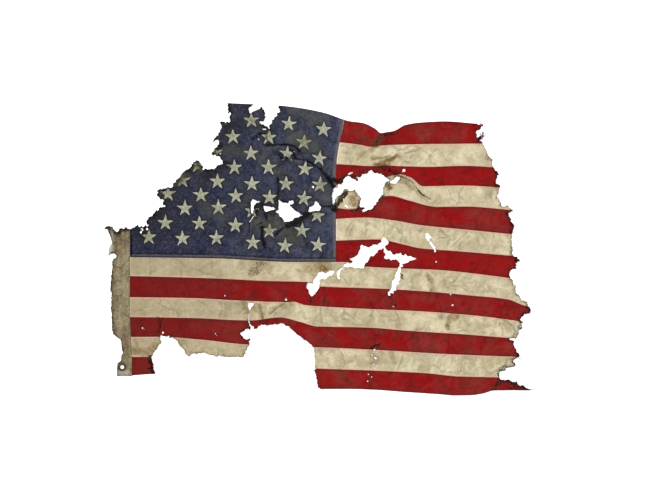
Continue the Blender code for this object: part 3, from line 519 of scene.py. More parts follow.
# %% Stains
# Each row holds soot, brown and pale, 0 to 1, half width in metres and the places it passes.
STAINS = (
    (0.40, 1.00, 0.0, 0.0150, ((379.5, 138.5), (378, 142), (374, 145.5))),
    (0.60, 0.30, 0.0, 0.0060, ((382, 135.2), (388, 135.3), (398, 133.4))),
    (0.05, 0.50, 0.0, 0.0120, ((366, 138), (371, 141))),
    (0.00, 0.60, 0.0, 0.0120, ((373, 146.5), (371, 149))),
    (0.12, 1.00, 0.0, 0.0088, ((382, 162.2), (390, 160), (397, 156.3))),
    (0.00, 0.70, 0.0, 0.0080, ((373, 158), (380, 158.6), (389, 157.6))),
    (0.34, 1.00, 0.0, 0.0090, ((375, 164.8), (388, 164.2))),
    (0.00, 0.35, 0.0, 0.0130, ((361, 156), (367, 150))),
    (0.62, 0.10, 0.0, 0.0150, ((384, 167.5), (391, 170.5), (397, 175))),
    (0.45, 0.10, 0.0, 0.0100, ((397, 174), (405, 178))),
    (0.55, 0.40, 0.0, 0.0100, ((342, 178), (348, 176), (355, 177))),
    (0.45, 0.25, 0.0, 0.0090, ((358, 172.5), (368, 170.5), (382, 173))),
    (0.10, 0.60, 0.0, 0.0100, ((397, 179), (406, 182), (412, 188))),
    (0.60, 0.80, 0.0, 0.0115, ((387, 184.5), (389, 187.5))),
    (0.96, 0.00, 0.0, 0.0112, ((334, 209.5), (339, 202), (346, 193))),
    (0.10, 0.80, 0.0, 0.0210, ((352, 199), (356, 203))),
    (0.60, 0.90, 0.0, 0.0080, ((351, 210.5), (357, 210), (361, 203), (364, 210))),
    (0.90, 0.20, 0.0, 0.0075, ((334, 179), (338, 182), (344, 178.5))),
    (1.00, 0.00, 0.0, 0.0085, ((328, 178), (334, 187.5))),
    (0.62, 0.00, 0.0, 0.0085, ((261.5, 227), (262, 236), (262.5, 243), (266, 247))),
    (0.78, 0.00, 0.0, 0.0120, ((287, 226), (296, 222.5), (303, 216.5), (310, 212.5), (318, 210))),
    (0.40, 0.60, 0.0, 0.0180, ((281, 225), (290, 226))),
    (0.62, 0.00, 0.0, 0.0100, ((263, 206), (273, 213))),
    (0.58, 0.00, 0.0, 0.0110, ((278, 155), (283, 158), (290, 159), (297, 155))),
    (0.50, 0.00, 0.0, 0.0090, ((288, 147), (295, 148), (302, 153))),
    (0.70, 0.00, 0.0, 0.0090, ((253, 138), (262, 133))),
    (0.70, 0.00, 0.0, 0.0080, ((257, 204), (256, 217))),
    (0.80, 0.00, 0.0, 0.0048, ((131.4, 229), (131.4, 255))),
    (0.30, 0.00, 0.0, 0.0200, ((151, 222), (160, 212), (164, 206))),
    (0.00, 0.60, 0.0, 0.0240, ((256, 222), (272, 227))),
    (0.00, 0.55, 0.0, 0.0220, ((284, 233), (296, 238))),
    (0.00, 0.55, 0.0, 0.0260, ((286, 214), (272, 222))),
    (0.00, 0.50, 0.0, 0.0220, ((324, 186), (328, 198))),
    (0.00, 0.50, 0.0, 0.0260, ((292, 138), (316, 148))),
    (0.00, 0.34, 0.0, 0.0170, ((258, 156), (262, 162))),
    (0.00, 0.34, 0.0, 0.0170, ((276, 168), (280, 176))),
    (0.12, 0.45, 0.0, 0.0130, ((248, 121), (255, 121))),
    (0.00, 0.40, 0.0, 0.0240, ((226, 150), (242, 152))),
    (0.00, 0.40, 0.0, 0.0260, ((296, 112), (318, 120))),
    (0.00, 0.35, 0.0, 0.0260, ((204, 206), (222, 216))),
    (0.45, 0.70, 0.0, 0.0110, ((213, 150), (215, 156))),
    (0.42, 0.95, 0.0, 0.0130, ((193, 166), (198, 162.5), (203, 168))),
    (0.25, 0.95, 0.0, 0.0140, ((174, 184), (187, 174))),
    (0.30, 0.95, 0.0, 0.0130, ((157.5, 192), (159.5, 200))),
    (0.44, 0.50, 0.0, 0.0180, ((252.5, 273.5), (258, 269), (262, 264))),
    (0.28, 0.40, 0.0, 0.0150, ((266, 264.5), (270, 268))),
    (0.30, 1.00, 0.0, 0.0140, ((321, 268), (325, 270))),
    (0.05, 0.60, 0.0, 0.0240, ((311, 268.5), (327, 265))),
    (0.65, 0.60, 0.0, 0.0050, ((310.6, 297), (310.5, 302.5))),
    (0.40, 0.60, 0.0, 0.0060, ((284, 300.5), (291, 301))),
    (0.20, 0.60, 0.0, 0.0110, ((244, 301), (246.5, 312))),
    (0.48, 0.50, 0.0, 0.0080, ((262.5, 310.5), (262.5, 318.5))),
    (0.10, 0.60, 0.0, 0.0170, ((251, 306), (260, 309))),
    (0.05, 0.50, 0.0, 0.0080, ((269, 312), (275, 307.5), (283, 305))),
    (0.48, 0.15, 0.0, 0.0105, ((157, 318), (161, 324), (157, 332))),
    (0.36, 0.10, 0.0, 0.0120, ((138, 322), (144, 328))),
    (0.25, 0.60, 0.0, 0.0160, ((134, 351), (146, 353), (158, 346))),
    (0.85, 0.30, 0.0, 0.0100, ((150.6, 357), (151.4, 366), (153.2, 373))),
    (0.20, 0.12, 0.0, 0.0300, ((134, 366), (150, 366))),
    (0.08, 0.80, 0.0, 0.0110, ((457, 316.5), (449, 317.5), (447, 327))),
    (0.00, 0.40, 0.0, 0.0120, ((446, 281), (451, 286))),
    (0.25, 0.35, 0.0, 0.0110, ((431, 284), (434, 290))),
    (0.22, 0.35, 0.0, 0.0120, ((449, 288), (455, 289))),
    (0.40, 0.15, 0.0, 0.0100, ((328, 331), (333, 336), (337, 331))),
    (0.44, 0.15, 0.0, 0.0090, ((379, 332), (374, 336), (378, 341))),
    (0.44, 0.15, 0.0, 0.0090, ((416, 330), (411, 337))),
    (0.48, 0.10, 0.0, 0.0130, ((390, 294), (394, 305))),
    (0.75, 0.30, 0.0, 0.0060, ((370, 348.5), (374, 346), (380, 344))),
    (0.32, 0.40, 0.0, 0.0120, ((370, 353), (377, 360), (371, 366))),
    (0.00, 0.45, 0.0, 0.0100, ((391, 353), (394, 362))),
    (0.70, 0.50, 0.0, 0.0055, ((402, 275), (402.5, 278))),
    (0.40, 0.60, 0.0, 0.0100, ((427, 275), (431, 281))),
    (0.60, 0.40, 0.0, 0.0050, ((431, 290), (430, 293))),
    (0.35, 0.40, 0.0, 0.0080, ((341, 370), (344, 377))),
    (0.60, 0.40, 0.0, 0.0070, ((110, 228), (113, 231), (118, 237), (121, 231), (128, 229.5))),
    (0.25, 0.50, 0.0, 0.0110, ((116, 240), (118, 254))),
    (0.15, 0.50, 0.0, 0.0160, ((126, 330), (126, 356))),
    (0.10, 0.40, 0.0, 0.0130, ((113.5, 265), (113.5, 330))),
    (0.00, 0.00, 1.0, 0.0120, ((109.5, 246), (106.5, 258))),
    (0.00, 0.00, 0.5, 0.0080, ((113, 232), (113, 240))),
    (0.00, 0.00, 0.5, 0.0090, ((120, 371), (127, 373))),
    (0.00, 0.00, 0.6, 0.0140, ((430, 228), (470, 236))),
    (0.00, 0.00, 0.6, 0.0160, ((430, 156), (470, 157))),
    (0.00, 0.00, 0.6, 0.0160, ((440, 281), (490, 288))),
    (0.00, 0.00, 0.6, 0.0140, ((460, 316), (495, 320))),
    (0.00, 0.00, 0.5, 0.0160, ((440, 362), (485, 366))),
    (0.00, 0.00, 0.5, 0.0160, ((320, 358), (345, 360))),
    (0.54, 0.20, 0.0, 0.0190, ((501, 382.5), (512, 385.5), (528, 389.5))),
    (0.62, 0.40, 0.0, 0.0095, ((494, 390), (498.5, 381))),
)

# %% Creases and stains at each point
CREASE_REACH = 0.03
STAIN_REACH = 0.04


def creases_at(points):
    """Return trough, swelling (metres) and the creases' dirt and painted shade, 0 to 1: a bell curve of the
    distance over the half width. The swelling's curve is wider and stands 2.6 half widths off."""
    trough, swelling, dirt_and_shade = np.zeros(len(points)), np.zeros(len(points)), np.zeros(len(points))
    uneven = 0.75 + 0.5 * rough(points, 0.02, 31)
    for depth, width, dark, line in CREASES:
        line = place(line)
        near = close_to(points, line, CREASE_REACH)
        away = line_distance(points[near], line)
        core = bell(away, width * uneven[near])
        trough[near] = np.maximum(trough[near], depth * core)
        swelling[near] = np.maximum(swelling[near], depth * bell(away - 2.6 * width, 1.8 * width))
        dirt_and_shade[near] = np.maximum(dirt_and_shade[near], dark * core)
    return trough, swelling, dirt_and_shade


def stains_at(points):
    """Return soot, brown and pale, 0 to 1: strength * exp of minus the fourth power of distance over
    width."""
    marks = np.zeros((len(points), 3))
    uneven = 1.0 + 0.5 * cloudy(points, 0.012, 33) + 0.3 * rough(points, 0.0055, 35)
    for soot, brown, pale, width, line in STAINS:
        line = place(line)
        near = close_to(points, line, STAIN_REACH)
        core = bell(line_distance(points[near], line), width * uneven[near], power=4)
        marks[near] = np.maximum(marks[near], core[:, None] * (soot, brown, pale))
    return {"soot": marks[:, 0], "brown": marks[:, 1], "pale": marks[:, 2]}


# %% How far the cloth is off the floor
CRUMPLE = 0.0008
EDGE_CURL = 0.0026
CURL_WIDTH = 0.005
FOLD_FOOT = 0.0006
OFF_FLOOR = 0.0008


def lift_at(points, clear):
    """Return the height of the cloth's underside, and the dirt and painted shade in its creases. The highest
    fold counts.
    """
    lift = np.zeros(len(points))
    for start, end, height, width in FOLDS:
        lift = np.maximum(lift, height * bell(line_distance(points, place((start, end))), width))
    trough, swelling, dirt_and_shade = creases_at(points)
    crumple = CRUMPLE * (cloudy(points, 0.050, 3) + 0.35 * cloudy(points, 0.017, 7))
    curl = np.maximum(cloudy(points, 0.035, 13), 0.0)
    curl = EDGE_CURL * np.exp(-np.maximum(clear, 0.0) / CURL_WIDTH) * curl
    lift = np.maximum(lift - FOLD_FOOT, 0.0) + swelling + crumple + OFF_FLOOR + curl - trough
    return np.maximum(lift, 0.0), dirt_and_shade


def worn(points):
    """Return clear, lift and the marks at each point by name: char, scorch, the creases' dirt and painted
    shade, soot, brown and pale.
    """
    clear, char, scorch = wear_at(points)
    lift, dirt_and_shade = lift_at(points, clear)
    return clear, lift, {"char": char, "scorch": scorch, "dirt_and_shade": dirt_and_shade, **stains_at(points)}


print("folds:", len(FOLDS), "creases:", len(CREASES), "stains:", len(STAINS))

# %% [markdown]
# A grid of cloth is cut where the distance to what is gone passes through zero. Each small square of the grid
# is kept, dropped or cut, by which of its four corners are still cloth: that gives sixteen cases, each with
# its own polygon. A new corner slides along the grid's edge to where the distance is zero, so that the cut is
# smooth and the mesh has no steps. All values on the grid are blended to the new corners in the same way.
# A cut can leave loose crumbs behind. The fire took those too, so a body of a few corners is left out.

# %% Cutting a grid
CORNER_CASES = {
    1: ((0, 4, 7),), 2: ((1, 5, 4),), 4: ((2, 6, 5),), 8: ((3, 7, 6),),
    3: ((0, 1, 5, 7),), 6: ((1, 2, 6, 4),), 12: ((2, 3, 7, 5),), 9: ((3, 0, 4, 6),),
    5: ((0, 4, 7), (2, 6, 5)), 10: ((1, 5, 4), (3, 7, 6)),
    7: ((0, 1, 2, 6, 7),), 11: ((0, 1, 5, 6, 3),), 13: ((0, 4, 5, 2, 3),), 14: ((1, 2, 3, 7, 4),),
    15: ((0, 1, 2, 3),),
}
LEAST_SHARE = 0.06
CRUMB = 12


def body_of(blocks, total):
    """Give each corner the lowest number in its own body of cloth: the two ends of every edge share the
    lower of their numbers, again and again, until nothing changes."""
    edges = [np.stack((block, np.roll(block, 1, axis=1)), axis=-1).reshape(-1, 2) for block in blocks]
    ends = np.concatenate(edges)
    body = np.arange(total)
    before = None
    while before is None or (body != before).any():
        before = body.copy()
        low = before[ends].min(axis=1)
        np.minimum.at(body, before[ends[:, 0]], low)
        np.minimum.at(body, before[ends[:, 1]], low)
        body = body[body]
    return body


def without_crumbs(blocks, total):
    """Leave out the faces of each body that has fewer corners than a crumb may have."""
    body = body_of(blocks, total)
    used = np.unique(np.concatenate([block.ravel() for block in blocks]))
    corners = np.bincount(body[used], minlength=total)
    return [block[corners[body[block[:, 0]]] >= CRUMB] for block in blocks]


def cut_grid(clear):
    """Cut a grid where clear (rows by columns) passes zero. Return each point's two grid corners and the
    share of the second, share = clear 1 / (clear 1 - clear 2), and the faces."""
    rows, columns = clear.shape
    kept = clear > 0
    number = np.arange(rows * columns).reshape(rows, columns)
    across, upward = kept[:, :-1] != kept[:, 1:], kept[:-1] != kept[1:]
    on_row = np.zeros(across.shape, dtype=int)
    on_row[across] = rows * columns + np.arange(across.sum())
    on_column = np.zeros(upward.shape, dtype=int)
    on_column[upward] = rows * columns + across.sum() + np.arange(upward.sum())
    first = np.concatenate((number.ravel(), number[:, :-1][across], number[:-1][upward]))
    second = np.concatenate((number.ravel(), number[:, 1:][across], number[1:][upward]))
    one, two = clear.ravel()[first], clear.ravel()[second]
    share = np.clip(one / np.where(one == two, 1.0, one - two), LEAST_SHARE, 1 - LEAST_SHARE)
    share = np.where(first != second, share, 0.0)
    slots = np.stack((number[:-1, :-1], number[:-1, 1:], number[1:, 1:], number[1:, :-1],
                      on_row[:-1], on_column[:, 1:], on_row[1:], on_column[:, :-1]), axis=-1)
    case = kept[:-1, :-1] + 2 * kept[:-1, 1:] + 4 * kept[1:, 1:] + 8 * kept[1:, :-1]
    blocks = [slots[case == code][:, shape] for code, shapes in CORNER_CASES.items() for shape in shapes]
    blocks = without_crumbs(blocks, len(first))
    used = np.unique(np.concatenate([block.ravel() for block in blocks]))
    renumber = np.zeros(len(first), dtype=int)
    renumber[used] = np.arange(len(used))
    faces = [face for block in blocks for face in renumber[block].tolist()]
    return first[used], second[used], share[used], faces


# %% From arrays to an object
def to_object(name, points, faces, facts):
    """Make an object at the origin from points, faces and named values at each point."""
    mesh = bpy.data.meshes.new(name)
    mesh.from_pydata(points.tolist(), [], faces)
    for fact, values in facts.items():
        kind, field = ("FLOAT_VECTOR", "vector") if values.ndim == 2 else ("FLOAT", "value")
        mesh.attributes.new(fact, kind, "POINT").data.foreach_set(field, values.astype(np.float32).ravel())
    mesh.shade_smooth()
    piece = bpy.data.objects.new(name, mesh)
    bpy.context.scene.collection.objects.link(piece)
    return piece


def flat_area(points, faces):
    """Area in square metres of faces seen from above, by the shoelace sum over each face."""
    total = 0.0
    for size in (3, 4, 5):
        alike = np.array([face for face in faces if len(face) == size], dtype=int).reshape(-1, size)
        ring = points[alike, :2]
        after = np.roll(ring, -1, axis=1)
        total += (ring[..., 0] * after[..., 1] - ring[..., 1] * after[..., 0]).sum() / 2
    return total


def thicken(piece, thick):
    """Give a sheet its thickness downwards."""
    wall = piece.modifiers.new("thickness", "SOLIDIFY")
    wall.thickness = thick
    wall.offset = -1.0


def lay_cloth(name, grid, clear, top, thick, facts):
    """Cut a grid of cloth and thicken it. grid is rows by columns by 2, and the rest are flat arrays."""
    first, second, share, faces = cut_grid(clear.reshape(grid.shape[:2]))

    def blend(values):
        part = share if values.ndim == 1 else share[:, None]
        return values[first] * (1 - part) + values[second] * part

    points = blend(np.column_stack((grid.reshape(-1, 2), top)))
    piece = to_object(name, points, faces, {fact: blend(values) for fact, values in facts.items()})
    thicken(piece, thick)
    area = flat_area(points, faces)
    print(name, "faces", len(faces), "area", round(area, 4))
    return piece, points, area


# %% [markdown]
# Where two stripes meet, the maker sews a felled seam: the edges are folded into each other and held by two
# rows of stitches. From above it is a raised band, about six millimetres wide on each side of a fine groove
# where the stripes part, with a dent along each row of stitches. The grid is finer there, so that the band
# has its own points. The same profile serves hems, which are folded over once more.

# %% The profile of a seam
SEAM_ROWS = (0.0, 0.0008, 0.0018, 0.0031, 0.0050, 0.0068)
STITCH_ROWS = (0.0017, 0.0050)
CLOTH_STEP = 0.0029


def stations(length, step, fine_start, fine_end):
    """Shares from 0 to 1 along a length: fine rows at the ends that are sewn, and even steps between."""
    start = np.array(SEAM_ROWS if fine_start else (0.0,))
    end = length - np.array(SEAM_ROWS if fine_end else (0.0,))[::-1]
    between = np.linspace(start[-1], end[0], max(2, round((end[0] - start[-1]) / step)) + 1)[1:-1]
    return np.concatenate((start, between, end)) / length


def seam_profile(away):
    """Height of a sewn band at each distance from its seam: a plateau, less a groove at zero and less a
    dent at each row of stitches."""
    band = 0.0006 * (1 - ease(away, 0.0056, 0.0074))
    groove = 0.0007 * bell(away, 0.0007)
    dents = sum(0.0003 * bell(away - row, 0.0006) for row in STITCH_ROWS)
    return band - groove - dents


# %% [markdown]
# A stripe is a ruled surface: one parameter runs along the fly, and the other goes across, from the seam
# below to the seam above. So each stripe narrows, bows and sags with its seams, as the real one does.

# %% Points of a stripe
def stripe_grid(stripe):
    """Point at (u, v): x = start + u * length, y = lower seam + v * (upper seam - lower seam)."""
    short = stripe <= CANTON_STRIPES
    hoist_edge = CANTON_EDGE if short else HEADING_EDGE
    end = x_of(540)
    zero = np.array([0.0])
    middle = (seam_height(stripe, zero) + seam_height(stripe - 1, zero)) / 2
    length = end - edge_across(hoist_edge, middle)[0]
    u = stations(length, CLOTH_STEP, True, False)
    v = stations(STRIPE_WIDTH, CLOTH_STEP, True, True)
    near_start = np.array([x_of(340 if short else 131)])
    low, high = seam_height(stripe, near_start), seam_height(stripe - 1, near_start)
    start = edge_across(hoist_edge, low + v * (high - low))
    x = start[:, None] + u[None] * (end - start[:, None])
    low, high = seam_height(stripe, x.ravel()), seam_height(stripe - 1, x.ravel())
    across = np.repeat(v, len(u))
    grid = np.stack((x.ravel(), low + across * (high - low)), axis=-1)
    from_seam = np.minimum(across, 1 - across) * STRIPE_WIDTH
    from_side = (x - start[:, None]).ravel()
    return grid.reshape(*x.shape, 2), from_seam, from_side, across * STRIPE_WIDTH


# %% The stripes
FADED = {1: 1.0, 2: 0.9, 3: 0.2, 4: 0.7, 5: 0.9, 6: 1.0, 7: 0.2, 8: 1.0, 9: 0.8, 10: 1.3, 11: 1.0, 12: 1.3,
         13: 0.9}
DARK_WHITE_ENDS = 10
cloth_pieces = {}
for stripe in range(1, STRIPES + 1):
    colour = "red" if stripe % 2 else "white"
    grid, from_seam, from_side, across = stripe_grid(stripe)
    spots = grid.reshape(-1, 2)
    clear, lift, facts = worn(spots)
    # On red the seam value is painted shade along the seam's groove and band; on white it is pink dye bled
    # from the red.
    if colour == "red":
        seam = np.maximum(bell(from_seam, 0.0040), 0.35 * bell(from_seam, 0.012))
    else:
        seam = bell(from_seam, 0.0050)
        if stripe == CANTON_STRIPES + 1:
            seam = seam * ~((across > STRIPE_WIDTH / 2) & (spots[:, 0] < x_of(336)))
        if stripe < DARK_WHITE_ENDS:
            facts["char"] = facts["char"] * (1 - 0.5 * ease(spots[:, 0], x_of(455), x_of(485)))
    side_share = 1.0 if stripe <= CANTON_STRIPES or colour == "red" else 0.25
    faded = np.full(len(spots), FADED[stripe])
    facts.update(seam=seam, side=bell(from_side, 0.004) * side_share, faded=faded,
                 thread=np.column_stack((spots[:, 0], across, lift)))
    top = lift + BUNTING + seam_profile(np.minimum(from_seam, from_side))
    name = f"cloth_stripe_{stripe:02d}"
    piece, points, area = lay_cloth(name, grid, clear, top, BUNTING, facts)
    cloth_pieces[name] = (piece, colour, points, area)


# %% [markdown]
# The canton is one piece of blue cloth as deep as seven stripes. Its stars are sewn on, so it needs to know
# where they are: the cloth around a star is darker, partly from dirt and dye pulled together there and partly
# from painted shadow round the raised star.

# %% The stars' places, a row of the flag at a time, in pixels
STARS = (
    ((251.5, 120.5), (289, 124), (323.5, 129.5)),
    ((233, 137), (269, 137.5), (304, 142.5)),
    ((214.5, 152.5), (251, 153.5), (287.5, 154), (319.5, 158.5)),
    ((198, 165.5), (234.5, 167.5), (268.5, 167.5), (305, 169)),
    ((182.5, 180.5), (217.5, 181.5), (252, 184), (286, 184), (320, 185)),
    ((168, 194), (201, 195), (236, 196), (269.5, 197.5), (304, 198.5)),
    ((185, 208.5), (218.5, 207.5), (252, 211), (317.5, 215.5)),
    ((165.5, 223), (199.5, 223.5), (235.5, 225.5), (269.5, 231), (302, 230.5)),
    ((149, 237), (182.5, 238.5), (216.5, 238), (253, 242.5), (285, 246), (318, 245)),
)
STAR_RADIUS = 0.0302
STAR_WAIST = 0.365


def star_ring(middle, radius, turn):
    """Ten corners at angle 90 + 36 n degrees, on the radius for even n and at the waist for odd n."""
    steps = np.arange(10)
    reach = np.where(steps % 2 == 0, radius, radius * STAR_WAIST)
    angle = math.pi / 2 + steps * math.pi / 5 + turn
    return middle + np.column_stack((np.cos(angle), np.sin(angle))) * reach[:, None]


star_middles = place([spot for row in STARS for spot in row])
star_sizes = STAR_RADIUS * (1 + 0.035 * rough(star_middles, 0.03, 21))
star_turns = -0.10 * ease(star_middles[:, 0], -0.30, 0.02) + 0.06 * rough(star_middles, 0.04, 23)
star_rings = [star_ring(*each) for each in zip(star_middles, star_sizes, star_turns)]
print("stars:", len(star_rings))

# %% The canton
HALO_REACH = 0.02
HALO_WIDTH = 0.007


def canton_grid():
    """Point at (u, v): x between the heading and the short stripes, y between the seam and the top hem.
    Each of the two leans on the other, so they are worked out in turn, four times."""
    low, high = y_of(260), y_of(104)
    left, right = x_of(130), x_of(336)
    u = stations(right - left, CLOTH_STEP, True, True)[None]
    v = stations(high - low, CLOTH_STEP, True, True)[:, None]
    y = low + v * (high - low) + 0 * u
    for again in range(4):
        start, end = edge_across(HEADING_EDGE, y), edge_across(CANTON_EDGE, y)
        x = start + u * (end - start)
        foot = seam_height(CANTON_STRIPES, x.ravel()).reshape(x.shape)
        head = seam_height(0, x.ravel()).reshape(x.shape)
        y = foot + v * (head - foot)
    from_sides = np.minimum(x - start, end - x)
    from_foot, from_head = y - foot, head - y
    return np.stack((x, y), axis=-1), from_sides.ravel(), from_foot.ravel(), from_head.ravel()


grid, from_sides, from_foot, from_head = canton_grid()
spots = grid.reshape(-1, 2)
clear, lift, facts = worn(spots)
# A dark band 14 mm above the canton's foot goes into the same value as the creases' dirt and painted shade.
facts["dirt_and_shade"] = np.maximum(facts["dirt_and_shade"], 0.85 * bell(from_foot - 0.0140, 0.0024))
from_hems = np.minimum(from_foot, from_head)
from_star = np.full(len(spots), 1.0)
for middle, ring in zip(star_middles, star_rings):
    near = distance_to(spots, middle) < STAR_RADIUS + HALO_REACH
    from_star[near] = np.minimum(from_star[near], ring_distance(spots[near], ring))
sewn_side = ease(0.0115 - from_sides, 0.0, 0.003) * (spots[:, 0] > 0)
foot_fold = 0.75 * bell(from_foot - 0.0075, 0.0030, power=4)
# The halo value is the darker ring round each star: partly dirt and dye, partly painted shadow.
# The seam value is painted shade along the canton's top hem and foot.
facts.update(seam=bell(from_hems, 0.0040), faded=np.ones(len(spots)), side=np.maximum(sewn_side, foot_fold),
             halo=np.exp(-np.maximum(from_star, 0) / HALO_WIDTH), thread=np.column_stack((spots, lift)))
top = lift + BUNTING + seam_profile(np.minimum(from_sides, from_hems))
piece, points, area = lay_cloth("cloth_canton", grid, clear, top, BUNTING, facts)
cloth_pieces["cloth_canton"] = (piece, "blue", points, area)

# %% The heading
RING_AT = place((122.3, 367.0))[0]
RING_HOLE = 0.0081
RING_SEAT = 0.0011
HEADING_STEP = 0.0030
HEADING_ROWS = (0.003, 0.014)


def heading_grid():
    """Point at (u, v): x from left of the hoist edge to the sewn edge, y straight up the hoist."""
    low, high = seam_height(STRIPES, np.array([x_of(126)]))[0], y_of(222)
    v = stations(high - low, CLOTH_STEP, False, False)
    y = low + v * (high - low)
    start, end = x_of(HEADING_LEFT), edge_across(HEADING_EDGE, y)
    u = stations(end.mean() - start, HEADING_STEP, False, True)
    x = start + u[None] * (end[:, None] - start)
    return np.stack((x, np.repeat(y[:, None], len(u), axis=1)), axis=-1), (end[:, None] - x).ravel()


grid, from_side = heading_grid()
spots = grid.reshape(-1, 2)
clear, lift, facts = worn(spots)
from_ring = distance_to(spots, RING_AT)
level = 1 - ease(from_ring, 0.018, 0.045)
lift = lift * (1 - level) + RING_SEAT * level
ring_soot = 0.85 * bell(np.maximum(from_ring - 0.0125, 0), 0.005)
facts["char"] = np.maximum(facts["char"], ring_soot) * (1 - facts["pale"])
facts["scorch"] = facts["scorch"] * (1 - facts["pale"])
facts.update(seam=bell(from_side, 0.003), thread=np.column_stack((spots, lift)))
dents = sum(0.00035 * bell(from_side - row, 0.0007) for row in HEADING_ROWS)
clear = np.minimum(clear, from_ring - RING_HOLE)
piece, points, area = lay_cloth("cloth_heading", grid, clear, lift + CANVAS - dents, CANVAS, facts)
cloth_pieces["cloth_heading"] = (piece, "canvas", points, area)

# %% [markdown]
# Each star is a thin patch of paler cloth on the canton. It is cut from a small fine grid by the distance to
# a ring of ten corners, so it bends over the folds with the cloth below and is burnt away where the canton
# is. All of them are one joined piece, because they share one finish.

# %% The stars
STAR_SQUARE = 0.0320
STAR_STEP = 0.0017
STAR_CLOTH = 0.0006
STAR_FACTS = ("char", "scorch", "dirt_and_shade", "brown", "soot", "tip")


def star_patches():
    """Cut every star from a square grid of its own, and join their points, faces and values."""
    side = np.arange(-STAR_SQUARE, STAR_SQUARE + 0.0001, STAR_STEP)
    flat = np.stack(np.meshgrid(side, side), axis=-1)
    all_values, all_faces, count = [], [], 0
    for middle, ring in zip(star_middles, star_rings):
        spots = (flat + middle).reshape(-1, 2)
        clear, lift, facts = worn(spots)
        inside = -ring_distance(spots, ring) + 0.0008 * rough(spots, 0.0046, 41)
        left = np.minimum(inside, clear - 0.0008)
        if left.max() <= 0:
            continue
        first, second, share, faces = cut_grid(left.reshape(flat.shape[:2]))
        facts["tip"] = ease(distance_to(spots, middle) / STAR_RADIUS, 0.30, 0.80)
        top = lift + BUNTING + 0.0007 - 0.0002 * bell(np.maximum(inside, 0), 0.0020)
        values = np.column_stack((spots, top, *[facts[name] for name in STAR_FACTS]))
        values = values[first] * (1 - share[:, None]) + values[second] * share[:, None]
        all_values.append(values)
        all_faces += [[corner + count for corner in face] for face in faces]
        count += len(values)
    values = np.vstack(all_values)
    return values[:, :3], all_faces, dict(zip(STAR_FACTS, values[:, 3:].T))


points, faces, facts = star_patches()
stars = to_object("sewn_stars", points, faces, facts)
thicken(stars, STAR_CLOTH)
stars_area = flat_area(points, faces)
print("stars: faces", len(faces), "area", round(stars_area, 4))

# %% [markdown]
# The seams are held by rows of short stitches. Each stitch is a tiny closed grain of thread, long, low and
# pointed: two ends, two sides, a top and a flat underside. They are worked out for a whole row at once, and
# the ones over burnt cloth are left out.

# %% Stitches along a line
BUNTING_STITCH = {"spacing": 0.0042, "length": 0.0030, "width": 0.0006}
CANVAS_STITCH = {"spacing": 0.0046, "length": 0.0034, "width": 0.0008}


def stitch_row(line, lifted, spacing, length, width):
    """Grains at even places along a line: ends at middle +- length / 2, sides at +- width / 2, top above."""
    along = np.concatenate(([0.0], np.cumsum(np.hypot(*np.diff(line, axis=0).T))))

    def spots_at(at):
        return np.column_stack([np.interp(at, along, line[:, axis]) for axis in (0, 1)])

    at = np.arange(spacing / 2, along[-1], spacing)
    middle = spots_at(at)
    ahead = spots_at(at + spacing / 4) - middle
    ahead /= np.maximum(np.hypot(*ahead.T), 1e-9)[:, None]
    side = np.column_stack((-ahead[:, 1], ahead[:, 0]))
    clear, char, _ = wear_at(middle)
    lift, _ = lift_at(middle, clear)
    keep = (clear > 0.003) & (rough(middle, 0.02, 51) < 0.72)
    middle, ahead, side, char = middle[keep], ahead[keep], side[keep], char[keep]
    base = lift[keep] + lifted
    wobble = 1 + 0.25 * rough(middle, 0.003, 53)[:, None]
    flat = np.stack((middle - ahead * length * wobble / 2, middle + ahead * length * wobble / 2,
                     middle - side * width / 2, middle + side * width / 2, middle), axis=1)
    height = np.stack((base, base, base, base, base + width * 0.7), axis=1)
    return np.concatenate((flat, height[..., None]), axis=2), char


STITCH_FACES = np.array(((0, 2, 4), (2, 1, 4), (1, 3, 4), (3, 0, 4), (0, 3, 2), (3, 1, 2)))


def join_grains(rows):
    """Join rows of grains with five points each into one list of points and faces."""
    grains = np.concatenate([row for row, _ in rows])
    char = np.concatenate([each for _, each in rows])
    faces = (STITCH_FACES[None] + 5 * np.arange(len(grains))[:, None, None]).reshape(-1, 3)
    return grains.reshape(-1, 3), faces.tolist(), np.repeat(char, 5)


# %% Where the stitches run
LINE_STEP = 0.004
rows = []
for seam in range(STRIPES + 1):
    x = np.arange(x_of(343 if 0 < seam < CANTON_STRIPES else 133), x_of(533), LINE_STEP)
    side = 1.0 if seam == STRIPES else -1.0
    for offset in STITCH_ROWS:
        line = np.column_stack((x, seam_height(seam, x) + side * offset))
        rows.append(stitch_row(line, BUNTING + 0.0003, **BUNTING_STITCH))
for knots, foot, head, offsets, lifted, stitch in (
        (CANTON_EDGE, 258, 118, (-0.0050, -0.0017), BUNTING + 0.0003, BUNTING_STITCH),
        (HEADING_EDGE, 374, 232, (-0.014, -0.003), CANVAS - 0.0001, CANVAS_STITCH)):
    y = np.arange(y_of(foot), y_of(head), LINE_STEP)
    for offset in offsets:
        rows.append(stitch_row(np.column_stack((edge_across(knots, y) + offset, y)), lifted, **stitch))
points, faces, char = join_grains(rows)
stitches = to_object("seam_stitches", points, faces, {"char": char})
print("stitches:", len(faces) // len(STITCH_FACES))

# %% [markdown]
# Torn cloth ends in loose yarns. They start a little inside the torn edge and lie out of it over the floor,
# each with its own length, lean and bend. A yarn is a thin three-sided tube along a bent line: the same
# formula makes all of them at once.

# %% Where loose yarns start
YARN_SPACING = 0.0030
LONG_RUN = 0.09
BEHIND = 0.004
CANTON_PANEL = 20
HEADING_PANEL = 21


